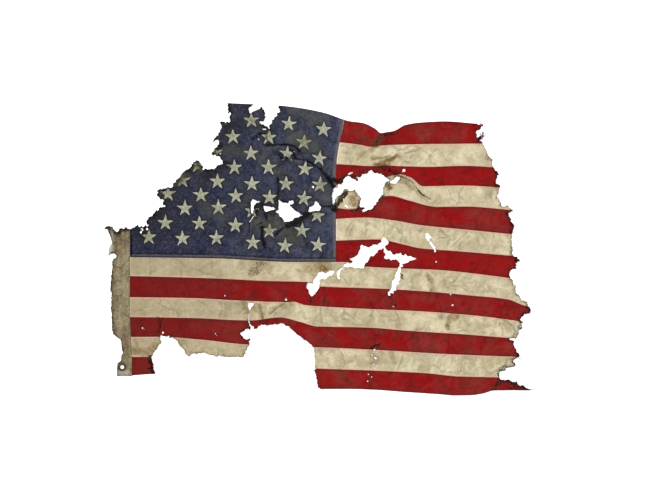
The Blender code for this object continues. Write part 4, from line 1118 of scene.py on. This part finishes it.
def yarn_roots():
    """Walk round every cut, and return places on its edge and the direction out of the cloth. A long run
    is one that was drawn past the flag, so it is left out."""
    places, outwards = [], []
    for cut in CUTS.values():
        ring = place(cut["points"])
        after = np.roll(ring, -1, axis=0)
        if (ring[:, 0] * after[:, 1] - ring[:, 1] * after[:, 0]).sum() <= 0:
            ring = ring[::-1]
        for start, end in zip(ring, np.roll(ring, -1, axis=0)):
            run = end - start
            length = math.hypot(*run)
            if length > LONG_RUN:
                continue
            count = max(1, round(length / YARN_SPACING))
            share = (np.arange(count) + 0.5)[:, None] / count
            places.append(start + run * share)
            outwards.append(np.repeat([[-run[1] / length, run[0] / length]], count, axis=0))
    return np.concatenate(places), np.concatenate(outwards)


def panel_of(points):
    """Say which panel a point is on: 1 to 13 for a stripe, the canton, the heading, or 0 for none."""
    x, y = points.T
    heights = np.array([seam_height(seam, x) for seam in range(STRIPES + 1)])
    stripe = (y[None] < heights).sum(axis=0)
    panel = np.where((stripe < 1) | (stripe > STRIPES), 0, stripe)
    on_canton = (x < edge_across(CANTON_EDGE, y)) & (y > heights[CANTON_STRIPES]) & (y < heights[0])
    panel = np.where(on_canton, CANTON_PANEL, panel)
    on_heading = (x < edge_across(HEADING_EDGE, y)) & (y < y_of(226)) & (y > heights[STRIPES])
    panel = np.where(on_heading, HEADING_PANEL, panel)
    return np.where(x > x_of(HEADING_LEFT + 1), panel, 0)


roots, outwards = yarn_roots()
behind, _, _ = wear_at(roots - outwards * BEHIND)
panels = panel_of(roots - outwards * BEHIND)
chance = rough(roots, 0.0021, 61) * 0.5 + 0.5
kept = (behind > 0.0005) & (panels > 0) & (chance < 0.62)
roots, outwards, panels = roots[kept], outwards[kept], panels[kept]
print("places for loose yarns:", len(roots))

# %% Bent tubes
YARN_RINGS = 6
YARN_SIDES = 3
YARN_START = 0.003
YARN_REST = 0.0005


def bent_lines(root, out, reach, wild):
    """Centre at s: root + out * s * length + side * (lean * s + curve * s * s + wave) * length, s from 0
    to 1."""
    pick = [0.5 + 0.5 * rough(root * 1.7, 0.0013, seed) for seed in (71, 73, 75, 77)]
    length = (0.004 + reach * (pick[0] ** 2.2 if wild == 1.0 else 1.0))[:, None, None]
    side = np.column_stack((-out[:, 1], out[:, 0]))[:, None]
    lean = (pick[1] * 2 - 1)[:, None, None] * wild
    curve = (pick[2] * 2 - 1)[:, None, None] * wild
    s = np.linspace(0, 1, YARN_RINGS)[None, :, None]
    wave = 0.12 * np.sin(s * (5 + 5 * pick[3])[:, None, None])
    sideways = lean * 0.7 * s + curve * 0.6 * s * s + wave
    return (root - out * YARN_START)[:, None] + length * (out[:, None] * s + side * sideways)


def tubes(centre, rise, radius):
    """Point at (line, s, turn t): centre + across * cos t * radius, at the height rise + sin t * radius."""
    turn = np.arange(YARN_SIDES) * 2 * math.pi / YARN_SIDES
    along = np.gradient(centre, axis=1)
    along /= np.maximum(np.linalg.norm(along, axis=2, keepdims=True), 1e-9)
    across = np.stack((-along[..., 1], along[..., 0]), axis=-1)
    flat = centre[:, :, None] + across[:, :, None] * (np.cos(turn)[None, None, :, None] * radius[..., None])
    height = rise[:, :, None] + np.sin(turn)[None, None] * radius
    points = np.concatenate((flat, height[..., None]), axis=-1).reshape(-1, 3)
    one = np.arange(YARN_RINGS * YARN_SIDES).reshape(YARN_RINGS, YARN_SIDES)
    after = np.roll(one, -1, axis=1)
    walls = np.stack((one[:-1], one[1:], after[1:], after[:-1]), axis=-1).reshape(-1, 4)
    ends = np.stack((one[0], one[-1][::-1]))
    first = np.arange(len(centre))[:, None, None] * YARN_RINGS * YARN_SIDES
    faces = (walls[None] + first).reshape(-1, 4).tolist()
    return points, faces + (ends[None] + first).reshape(-1, YARN_SIDES).tolist()


def yarns(name, root, out, reach, thick=0.0005, wild=1.0):
    """Thin tubes that start on the torn edge, sink to the floor and are sooty at their tips."""
    centre = bent_lines(root, out, reach, wild)
    s = np.linspace(0, 1, YARN_RINGS)
    clear, char, _ = wear_at(centre[:, 0])
    lift, _ = lift_at(centre[:, 0], clear)
    rise = (lift[:, None] + BUNTING * 0.6) * (1 - s) ** 1.5 + YARN_REST
    points, faces = tubes(centre, rise, thick * (1 - 0.6 * s)[None, :, None])
    soot = np.repeat(char * 0.6 + (1 - wild), YARN_RINGS * YARN_SIDES)
    soot = soot + 0.3 * np.tile(np.repeat(s, YARN_SIDES), len(root))
    print(name, len(root))
    return to_object(name, points, faces, {"char": np.clip(soot, 0, 1)})


# %% Torn strands
# Each row holds the root and the tip of one strand, x and y in pixels.
STRANDS = (
    (478.4, 140.8, 485.2, 132.2), (478.8, 141.0, 484.8, 134.6), (478.2, 139.6, 482.4, 131.8),
    (478.0, 140.4, 480.8, 133.4), (479.4, 141.2, 483.6, 135.6), (476.5, 142.0, 483.0, 141.4),
    (480.6, 124.6, 483.0, 125.2), (480.4, 124.2, 482.6, 123.6), (479.0, 140.0, 484.5, 131.6),
    (479.6, 139.4, 483.2, 133.6), (480.2, 139.8, 485.4, 133.0), (478.6, 139.8, 481.6, 132.8),
    (479.8, 140.6, 484.2, 134.2), (479.2, 140.4, 482.6, 132.2), (479.4, 138.6, 482.0, 134.6),
    (516.6, 356.6, 522.6, 358.4), (514.8, 352.6, 519.6, 353.8), (514.6, 260.4, 520.0, 260.8),
    (531.6, 389.6, 536.0, 389.9), (500.0, 370.0, 505.6, 366.8),
)
strand_roots, strand_tips = place(STRANDS)[0::2], place(STRANDS)[1::2]
strand_lengths = np.hypot(*(strand_tips - strand_roots).T)
strand_ways = (strand_tips - strand_roots) / strand_lengths[:, None]
red_strands = yarns("torn_strands_red", strand_roots, strand_ways, strand_lengths, thick=0.0018, wild=0.35)

# %% Loose yarns
def loose_yarns(tone, chosen, reach):
    """Yarns of one tone on the chosen roots, up to a little more than reach long."""
    return yarns(f"loose_yarns_{tone}", roots[chosen], outwards[chosen], reach)


red_yarns = loose_yarns("red", (panels < CANTON_PANEL) & (panels % 2 == 1), 0.017)
white_yarns = loose_yarns("white", (panels < CANTON_PANEL) & (panels % 2 == 0), 0.015)
blue_yarns = loose_yarns("blue", panels == CANTON_PANEL, 0.008)
canvas_yarns = loose_yarns("canvas", panels == HEADING_PANEL, 0.006)

# %% [markdown]
# The eyelet ring is a turned shape, so a section is carried round the bore: out over the rolled rim, down the
# outside, in under the flange and back up the bore. The rim is dented by a slow wave round the turn.

# %% The eyelet ring
RING_SECTION = (
    (0.0064, 0.0000), (0.0125, 0.0000), (0.0133, 0.0003), (0.0135, 0.0008), (0.0120, 0.0009),
    (0.0077, 0.0009),
    (0.0077, 0.0030), (0.0120, 0.0030), (0.0134, 0.0030), (0.0135, 0.0034), (0.0131, 0.0039),
    (0.0122, 0.0042),
    (0.0105, 0.0042), (0.0088, 0.0044), (0.0077, 0.0044), (0.0068, 0.0039), (0.0064, 0.0030),
)
RING_TURNS = 72


def turned_ring():
    """Point at (turn t, section s): centre + (r cos t, r sin t), z, with dents of 1 % of r and 0.12 mm of
    z."""
    r, z = np.array(RING_SECTION).T
    t = (np.arange(RING_TURNS) * 2 * math.pi / RING_TURNS)[:, None]
    dent = 0.6 * np.sin(3 * t + 0.4) + 0.4 * np.sin(7 * t + 1.1)
    radius = r * (1 + 0.010 * dent * (r > 0.011))
    height = z + 0.00012 * dent * (z > 0.0035)
    points = np.stack((RING_AT[0] + radius * np.cos(t), RING_AT[1] + radius * np.sin(t), height), axis=-1)
    number = np.arange(height.size).reshape(height.shape)
    beside, above = np.roll(number, -1, axis=0), np.roll(number, -1, axis=1)
    both = np.roll(beside, -1, axis=1)
    return points.reshape(-1, 3), np.stack((number, beside, both, above), axis=-1).reshape(-1, 4).tolist()


points, faces = turned_ring()
ring_piece = to_object("eyelet_ring", points, faces, {})
ring_bevel = ring_piece.modifiers.new("smooth", "SUBSURF")
ring_bevel.levels = 1
ring_bevel.render_levels = 1
print("eyelet ring:", len(faces), "faces")

# %% [markdown]
# A finish is a chain of shader nodes. Written out one node at a time it is long and hard to read, so a small
# class wraps a socket and lets it be used in ordinary sums: mask * 0.5 + noise adds the nodes for it.

# %% Shader sums
class Patch:
    """A shader socket that can be used in sums. Each sum adds a Math node."""

    def __init__(self, tree, socket):
        self.tree = tree
        self.socket = socket

    def math(self, operation, *others, clamp=False):
        node = self.tree.nodes.new("ShaderNodeMath")
        node.operation = operation
        node.use_clamp = clamp
        for place_in, value in enumerate((self, *others)):
            if isinstance(value, Patch):
                self.tree.links.new(value.socket, node.inputs[place_in])
            else:
                node.inputs[place_in].default_value = value
        return Patch(self.tree, node.outputs[0])

    def __add__(self, other):
        return self.math("ADD", other)

    def __sub__(self, other):
        return self.math("SUBTRACT", other)

    def __rsub__(self, other):
        return (self * -1.0).math("ADD", other)

    def __mul__(self, other):
        return self.math("MULTIPLY", other)

    __radd__ = __add__
    __rmul__ = __mul__

    def clamped(self):
        return self.math("ADD", 0.0, clamp=True)

    def sine(self):
        return self.math("SINE")


# %% A finish and its helpers
# Between the two limits of a pattern, a mark is broken up.
BREAKS = {"brown": (0.40, 0.60), "scorch": (0.42, 0.60), "char": (0.38, 0.54), "dirt_and_shade": (0.36, 0.56)}


def paint(tone):
    """Turn a colour as the photograph shows it (red, green and blue, 0 to 255) into a linear colour."""
    screen = np.array(tone) / 255
    linear = np.where(screen <= 0.04045, screen / 12.92, ((screen + 0.055) / 1.055) ** 2.4)
    return (*linear, 1.0)


class Finish:
    """A material that is built up in coats, from an even tone outwards."""

    def __init__(self, name, even=(255, 255, 255)):
        self.material = bpy.data.materials.new(name)
        self.material.use_nodes = True
        self.tree = self.material.node_tree
        self.shader = self.tree.nodes["Principled BSDF"]
        self.colour = paint(even)

    def node(self, kind, settings=None, sockets=None, out=0):
        node = self.tree.nodes.new(kind)
        for key, value in (settings or {}).items():
            setattr(node, key, value)
        for key, value in (sockets or {}).items():
            if isinstance(value, Patch):
                self.tree.links.new(value.socket, node.inputs[key])
            else:
                node.inputs[key].default_value = value
        return Patch(self.tree, node.outputs[out])

    def value(self, name):
        return self.node("ShaderNodeAttribute", {"attribute_name": name}, out=2)

    def vector(self, name):
        return self.node("ShaderNodeAttribute", {"attribute_name": name}, out=1)

    def here(self, stretch=(1.0, 1.0, 1.0)):
        spot = self.node("ShaderNodeTexCoord", out=3)
        return self.node("ShaderNodeMapping", sockets={"Vector": spot, "Scale": stretch})

    def noise(self, spot, scale, detail=3.0, rough_share=0.55, bent=0.0):
        return self.node("ShaderNodeTexNoise", sockets={"Vector": spot, "Scale": scale, "Detail": detail,
                                                        "Roughness": rough_share, "Distortion": bent})

    def step(self, value, low, high):
        return self.node("ShaderNodeMapRange", {"interpolation_type": "SMOOTHSTEP"},
                         {"Value": value, "From Min": low, "From Max": high})

    def coat(self, tone, share):
        """Lay a tone over the colour so far, by a share from 0 to 1."""
        sockets = {0: share, 6: self.colour, 7: paint(tone)}
        self.colour = self.node("ShaderNodeMix", {"data_type": "RGBA"}, sockets, out=2)

    def marked(self, fact, tone, pattern, least):
        """Lay a tone over the colour by a value on the mesh, broken up by a pattern."""
        share = self.value(fact) * (self.step(pattern, *BREAKS[fact]) * (1.15 - least) + least)
        self.coat(tone, share.clamped())

    def specks(self, tone):
        """Lay a tone over the colour in specks, closer together where there is more soot."""
        amount = self.value("soot")
        share = self.step(self.noise(self.here(), 190.0, 4.0, 0.72) + amount * 0.36, 0.67, 0.76)
        self.coat(tone, (share * self.step(amount, 0.02, 0.15)).clamped())

    def grime_and_shade(self, soft, hard, pattern):
        """Lay on the creases' dirt and painted shade: a soft tone at first, and a hard one where it is
        thickest.
        """
        self.marked("dirt_and_shade", soft, pattern, 0.70)
        thick = self.value("dirt_and_shade") * (self.step(pattern, 0.38, 0.54) * 0.5 + 0.65)
        self.coat(hard, self.step(thick, 0.55, 0.90))

    def set(self, **constants):
        for key, value in constants.items():
            self.shader.inputs[key.replace("_", " ")].default_value = value

    def link(self, name, value):
        self.tree.links.new(value.socket, self.shader.inputs[name])


print("a finish is ready to use; an even white of 255 gives", paint((255, 255, 255)))

# %% [markdown]
# Bunting is a plain weave of thin yarns. Its colour is never even: the dye has run and faded in clouds, dirt
# lies in blots and specks, and the creases hold dirt and painted shade. The fine wrinkles are darkened with
# painted shade, and so are the seams of red and blue, while the white turns pink along its seams where the
# red dye bled.
# Scorch is brown and soft at its edge and char is black. The weave itself is a relief: two rows of waves, at
# right angles, that take turns on top.

# %% Wrinkles and weave
YARN_PITCH = 0.0013


def wrinkles(finish, spot, scale):
    """Thin lines: the borders between the cells of a bent Voronoi pattern, in some places only."""
    drift = {"Vector": spot, "Scale": scale * 1.3, "Detail": 3.0}
    wander = finish.node("ShaderNodeTexNoise", sockets=drift, out=1)
    bent = finish.node("ShaderNodeVectorMath", {"operation": "MULTIPLY_ADD"},
                       {0: wander, 1: (0.9 / scale, 0.9 / scale, 0.0), 2: spot})
    border = finish.node("ShaderNodeTexVoronoi", {"feature": "DISTANCE_TO_EDGE"},
                         {"Vector": bent, "Scale": scale})
    somewhere = finish.step(finish.noise(spot, scale * 0.9, 2.0), 0.46, 0.58)
    return (1.0 - finish.step(border, 0.0, 0.075)) * somewhere


def weave_bump(finish, spot, pitch, depth, folds=None):
    """A height of sin(x) * sin(y) over the threads, plus fine fuzz and soft swells, less the wrinkles."""
    x = finish.node("ShaderNodeSeparateXYZ", sockets={"Vector": spot})
    y = Patch(finish.tree, x.socket.node.outputs[1])
    turns = 2 * math.pi / pitch
    weave = (x * turns).sine() * (y * turns).sine()
    fuzz, swells = finish.noise(finish.here(), 700.0, 2.0), finish.noise(finish.here(), 70.0, 3.0)
    height = weave * 0.35 + fuzz * 0.8 + swells * 4.0
    if folds is not None:
        height = height - folds * 1.6
    bump = finish.node("ShaderNodeBump", sockets={"Height": height, "Strength": 1.0, "Distance": depth})
    finish.link("Normal", bump)


# %% The finish of bunting
def bunting(name, tones):
    """Layers go from the cloth outwards: dye, stains, blots, painted shade in the wrinkles, grain, seam
    (painted shade on red and blue, dye bleed on white), the creases' dirt and painted shade, scorch and char.
    """
    finish = Finish(name, tones["even"])
    spot = finish.here()
    x = finish.node("ShaderNodeSeparateXYZ", sockets={"Vector": spot})
    hoistward = 1.0 - finish.step(x, -0.72, 0.12)
    clouds = finish.step(finish.noise(spot, 10.0, 4.0, 0.6, 0.6), 0.42, 0.60)
    bright = finish.step(finish.noise(spot, 31.0, 3.0), 0.50, 0.62)
    patches = finish.step(finish.noise(spot, 22.0, 3.0, 0.6, 0.6), 0.46, 0.62)
    blots = finish.step(finish.noise(spot, 55.0, 4.0, 0.62, 0.5), 0.50, 0.64)
    grain = finish.noise(spot, 150.0, 3.0, 0.7)
    folds = wrinkles(finish, spot, 13.0)
    faded = finish.value("faded")
    finish.coat(tones["cloud"], (clouds * faded).clamped())
    finish.coat(tones["light"], bright * 0.45)
    finish.coat(tones["stain"], (patches * faded * 0.60).clamped())
    finish.coat(tones["blot"], blots * tones["blot_share"])
    finish.coat(tones["hoist"], hoistward * tones["hoist_share"])
    finish.coat(tones["light"], finish.value("pale") * bright * 0.8)
    finish.coat(tones["light"], finish.step(grain, 0.50, 0.64) * tones["grain"])
    # The darker ring round each star: partly dirt and dye, partly painted shadow of the raised star.
    if "halo" in tones:
        around = finish.value("halo") * (finish.step(grain, 0.36, 0.56) * 0.6 + 0.5)
        finish.coat(tones["halo"], (around * 0.9).clamped())
    # Painted shade along the fine wrinkles.
    finish.coat(tones["dark"], folds * tones["wrinkle_shade_share"])
    finish.coat(tones["dark"], (1.0 - finish.step(grain, 0.37, 0.48)) * tones["grain"])
    patchy = finish.step(finish.noise(spot, 45.0, 3.0, 0.6), 0.36, 0.56) * 0.4 + 0.6
    finish.coat(tones["side"], finish.value("side") * patchy * tones["side_share"])
    # The seam coat is painted shade on red and blue, and pink dye bleed on white.
    finish.coat(tones["seam"], finish.value("seam") * patchy * tones["seam_share"])
    broken = finish.noise(spot, 90.0, 4.0, 0.65)
    finish.marked("brown", tones["brown"], broken, 0.65)
    # The creases' dirt and painted shade, then soot specks.
    finish.grime_and_shade(tones["dust_and_shade"], tones["dirt_and_shade"], broken)
    finish.specks(tones["dirt_and_shade"])
    finish.marked("scorch", tones["scorch"], broken, 0.30)
    finish.marked("char", tones["char"], broken, 0.50)
    finish.link("Base Color", finish.colour)
    finish.set(Roughness=0.92, Sheen_Weight=0.03, Sheen_Roughness=0.6, Specular_IOR_Level=0.08)
    weave_bump(finish, finish.vector("thread"), YARN_PITCH, 0.0005, folds)
    return finish.material


# %% Red, white and blue
RED = {
    "even": (152, 8, 12), "cloud": (142, 48, 42), "hoist": (112, 20, 20), "stain": (120, 38, 32),
    "blot": (104, 24, 22), "light": (162, 22, 24), "dark": (66, 12, 12), "seam": (82, 26, 22),
    "side": (84, 26, 24), "brown": (84, 54, 40), "dust_and_shade": (88, 22, 22), "dirt_and_shade": (24, 12, 11),
    "scorch": (60, 22, 18), "char": (22, 11, 11), "grain": 0.22, "wrinkle_shade_share": 0.36, "blot_share": 0.44,
    "hoist_share": 0.75, "seam_share": 0.90, "side_share": 0.5,
}
WHITE = {
    "even": (224, 211, 176), "cloud": (203, 190, 156), "hoist": (166, 149, 116), "stain": (182, 169, 131),
    "blot": (160, 148, 112), "light": (236, 225, 194), "dark": (122, 112, 84), "seam": (232, 180, 158),
    "side": (242, 236, 222), "brown": (132, 104, 58), "dust_and_shade": (132, 118, 86), "dirt_and_shade": (44, 38, 30),
    "scorch": (104, 86, 60), "char": (38, 31, 27), "grain": 0.15, "wrinkle_shade_share": 0.43, "blot_share": 0.30,
    "hoist_share": 0.75, "seam_share": 0.85, "side_share": 0.95,
}
BLUE = {
    "even": (64, 69, 94), "cloud": (84, 86, 95), "hoist": (27, 29, 58), "stain": (40, 44, 62),
    "blot": (30, 30, 48), "light": (94, 97, 116), "dark": (14, 14, 26), "halo": (36, 38, 36),
    "seam": (52, 46, 48), "side": (112, 102, 96), "brown": (84, 86, 68), "dust_and_shade": (26, 26, 38),
    "dirt_and_shade": (8, 7, 14), "scorch": (56, 54, 44), "char": (16, 15, 16), "grain": 0.40, "wrinkle_shade_share": 0.50,
    "blot_share": 0.50, "hoist_share": 0.85, "seam_share": 1.0, "side_share": 0.85,
}
finishes = {
    "red": bunting("red_bunting", RED),
    "white": bunting("white_bunting", WHITE),
    "blue": bunting("blue_bunting", BLUE),
}
print("finishes of bunting:", ", ".join(finishes))

# %% [markdown]
# The stars are paler and yellowed. The heading is a coarser canvas with dark streaks up the hoist. Yarns and
# stitches take a plain finish with some change of tone, and the ring is brass under soot.

# %% Plain cloth, yarns and thread
def plain_coats(name, even, cloud, patch):
    """Start a finish with two coats, and return it with its grain and the pattern that breaks up marks."""
    finish = Finish(name, even)
    spot = finish.here()
    finish.coat(cloud, finish.step(finish.noise(spot, 16.0, 4.0, 0.6), 0.42, 0.60))
    finish.coat(patch, finish.step(finish.noise(spot, 95.0, 4.0, 0.65), 0.46, 0.62) * 0.6)
    return finish, finish.noise(spot, 210.0, 3.0, 0.7), finish.noise(spot, 90.0, 4.0, 0.65)


def charred_cloth(finish, broken):
    """Add the last coat, char, and the dull surface of cloth."""
    finish.marked("char", (20, 16, 15), broken, 0.50)
    finish.link("Base Color", finish.colour)
    finish.set(Roughness=0.93, Sheen_Weight=0.03, Sheen_Roughness=0.6, Specular_IOR_Level=0.08)
    return finish.material


def plain_yarn(name, *tones):
    finish, _, broken = plain_coats(name, *tones)
    return charred_cloth(finish, broken)


def star_cloth():
    """Layers as for bunting, but fewer: light grain, paler tips, brown, the creases' dirt and painted shade,
    soot and char.
    """
    finish, grain, broken = plain_coats("star_cloth", (169, 169, 146), (152, 153, 128), (124, 127, 102))
    finish.coat((220, 218, 202), finish.step(grain, 0.48, 0.60) * 0.50)
    finish.coat((206, 206, 192), finish.value("tip") * (finish.step(grain, 0.36, 0.58) * 0.5 + 0.2))
    finish.marked("scorch", (96, 88, 60), broken, 0.30)
    finish.marked("brown", (96, 88, 60), broken, 0.45)
    # The creases' dirt and painted shade, then soot specks.
    finish.grime_and_shade((96, 96, 78), (24, 22, 24), broken)
    finish.specks((24, 22, 24))
    weave_bump(finish, finish.here(), 0.0011, 0.0004)
    return charred_cloth(finish, broken)


# %% Heading canvas
def heading_canvas():
    """Canvas with soot in streaks up the hoist and in blots, darkest along the worn edge."""
    finish = Finish("heading_canvas", (164, 150, 118))
    spot = finish.here()
    grain = finish.noise(spot, 210.0, 3.0, 0.7)
    folds = wrinkles(finish, spot, 30.0)
    streaks = finish.noise(finish.here((4.5, 1.0, 1.0)), 12.0, 4.0, 0.6, 0.5)
    finish.coat((128, 114, 86), finish.step(streaks, 0.45, 0.62) * 0.6)
    finish.coat((112, 104, 76), finish.step(finish.noise(spot, 50.0, 4.0, 0.6, 0.4), 0.48, 0.64) * 0.45)
    finish.coat((196, 184, 152), finish.step(grain, 0.50, 0.62) * 0.35)
    finish.coat((70, 58, 44), (1.0 - finish.step(grain, 0.37, 0.48)) * 0.40)
    # Painted shade along the fine wrinkles.
    finish.coat((74, 62, 46), folds * 0.5)
    finish.coat((198, 196, 186), (finish.value("pale") * (grain + 0.35)).clamped())
    finish.coat((96, 78, 60), finish.value("seam") * 0.35)
    broken = finish.noise(spot, 90.0, 4.0, 0.65)
    finish.marked("brown", (98, 80, 50), broken, 0.45)
    finish.marked("scorch", (74, 58, 42), broken, 0.30)
    # The creases' dirt and painted shade, then soot specks.
    finish.grime_and_shade((88, 74, 54), (44, 36, 28), broken)
    finish.specks((44, 36, 28))
    finish.marked("char", (30, 22, 18), broken, 0.50)
    finish.link("Base Color", finish.colour)
    finish.set(Roughness=0.95, Sheen_Weight=0.03, Specular_IOR_Level=0.08)
    weave_bump(finish, finish.vector("thread"), 0.0018, 0.0007, folds)
    return finish.material


# %% Sooty brass
def sooty_brass():
    """Brass that shows only where it is rubbed: soot and brown tarnish lie over the rest."""
    finish = Finish("sooty_brass", (112, 88, 60))
    soot = finish.step(finish.noise(finish.here(), 420.0, 4.0, 0.6), 0.34, 0.62)
    finish.coat((38, 31, 27), soot)
    finish.link("Base Color", finish.colour)
    finish.link("Roughness", soot * 0.35 + 0.38)
    finish.link("Metallic", 1.0 - soot * 0.8)
    bump = finish.node("ShaderNodeBump", sockets={"Height": soot, "Strength": 0.5, "Distance": 0.0003})
    finish.link("Normal", bump)
    return finish.material


finishes["stars"] = star_cloth()
finishes["canvas"] = heading_canvas()
finishes["brass"] = sooty_brass()
finishes["thread"] = plain_yarn("seam_thread", (132, 92, 76), (98, 60, 50), (70, 44, 38))
finishes["yarn_red"] = plain_yarn("yarn_red", (124, 26, 24), (90, 30, 28), (52, 22, 20))
finishes["yarn_white"] = plain_yarn("yarn_white", (192, 180, 150), (150, 138, 110), (110, 98, 76))
finishes["yarn_blue"] = plain_yarn("yarn_blue", (44, 46, 58), (34, 34, 42), (24, 24, 28))
print("finishes:", len(finishes))

# %% [markdown]
# Now every piece gets its finish, rides on the one body of the flag, and hides the solid pieces that it
# replaces.

# %% Dress the frame
SEAM_ALLOWANCE = 0.012
STAR_FILL = 0.6


def dress(piece, finish, slot, *nodes):
    """Give a piece its finish and its body, and hide the solids that it replaces. The slot is not used."""
    piece.data.materials.append(finishes[finish])
    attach(piece, "root")
    if nodes:
        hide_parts(*nodes)


SLOTS = {"red": "red_bunting", "white": "white_bunting", "blue": "blue_bunting", "canvas": "canvas"}
for name, (piece, colour, points, area) in cloth_pieces.items():
    stem = name.replace("cloth_", "")
    dress(piece, colour, SLOTS[colour], *[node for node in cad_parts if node.startswith(stem)])
    wide, deep = np.ptp(points[:, 0]), np.ptp(points[:, 1])
    if "stripe" in name:
        deep = STRIPE_WIDTH + SEAM_ALLOWANCE
    wide = max(wide, area / deep)
    float(max(area, 0.3 * deep * wide))
dress(stars, "stars", "star_cloth")
star_side = math.sqrt(stars_area / STAR_FILL)
dress(stitches, "thread", "sewing_thread")
dress(red_yarns, "yarn_red", "red_bunting")
dress(red_strands, "yarn_red", "red_bunting")
dress(white_yarns, "yarn_white", "white_bunting")
dress(blue_yarns, "yarn_blue", "blue_bunting")
dress(canvas_yarns, "yarn_white", "canvas")
dress(ring_piece, "brass", "brass", "grommet")
print("pieces dressed:", len(cloth_pieces) + 8)

# %% [markdown]
# The photograph is lit evenly from all round on pure white. A white world gives most of that, and one large
# soft sun from the upper left makes the creases show. The floor is almost white, and the camera looks
# straight down with a long lens, from a height at which its view is as wide as 662 pixels of the photograph.

# %% Floor, light and camera
PICTURE = (662, 502)
LENS, SENSOR = 85.0, 36.0
FLOOR_REACH, FLOOR_HEIGHT = 30.0, -0.0006
corners = [(x * FLOOR_REACH, y * FLOOR_REACH, FLOOR_HEIGHT) for x, y in ((-1, -1), (1, -1), (1, 1), (-1, 1))]
floor_mesh = bpy.data.meshes.new("floor")
floor_mesh.from_pydata(corners, [], [(0, 1, 2, 3)])
floor = bpy.data.objects.new("floor", floor_mesh)
bpy.context.scene.collection.objects.link(floor)
floor_finish = Finish("floor_white")
floor_finish.set(Base_Color=(0.98, 0.98, 0.98, 1.0), Roughness=0.9, Emission_Color=(1.0, 1.0, 1.0, 1.0),
                 Emission_Strength=0.70)
floor_mesh.materials.append(floor_finish.material)

world = bpy.data.worlds.new("studio")
bpy.context.scene.world = world
world.use_nodes = True
world.node_tree.nodes["Background"].inputs["Color"].default_value = (1.0, 1.0, 1.0, 1.0)
world.node_tree.nodes["Background"].inputs["Strength"].default_value = 0.62

sun = bpy.data.lights.new("soft_sun", "SUN")
sun.energy = 2.4
sun.angle = math.radians(24)
sun_holder = bpy.data.objects.new("soft_sun", sun)
sun_holder.rotation_euler = (math.radians(-38), math.radians(-38), 0.0)
bpy.context.scene.collection.objects.link(sun_holder)

camera = bpy.data.cameras.new("camera")
camera.lens = LENS
camera.sensor_width = SENSOR
camera.clip_end = 50.0
holder = bpy.data.objects.new("camera", camera)
camera_height = PICTURE[0] * PIXEL * LENS / SENSOR
holder.location = (x_of(PICTURE[0] / 2), y_of(PICTURE[1] / 2), camera_height)
bpy.context.scene.collection.objects.link(holder)
bpy.context.scene.camera = holder
bpy.context.scene.view_settings.view_transform = "Standard"
print("camera height", round(holder.location.z, 3))
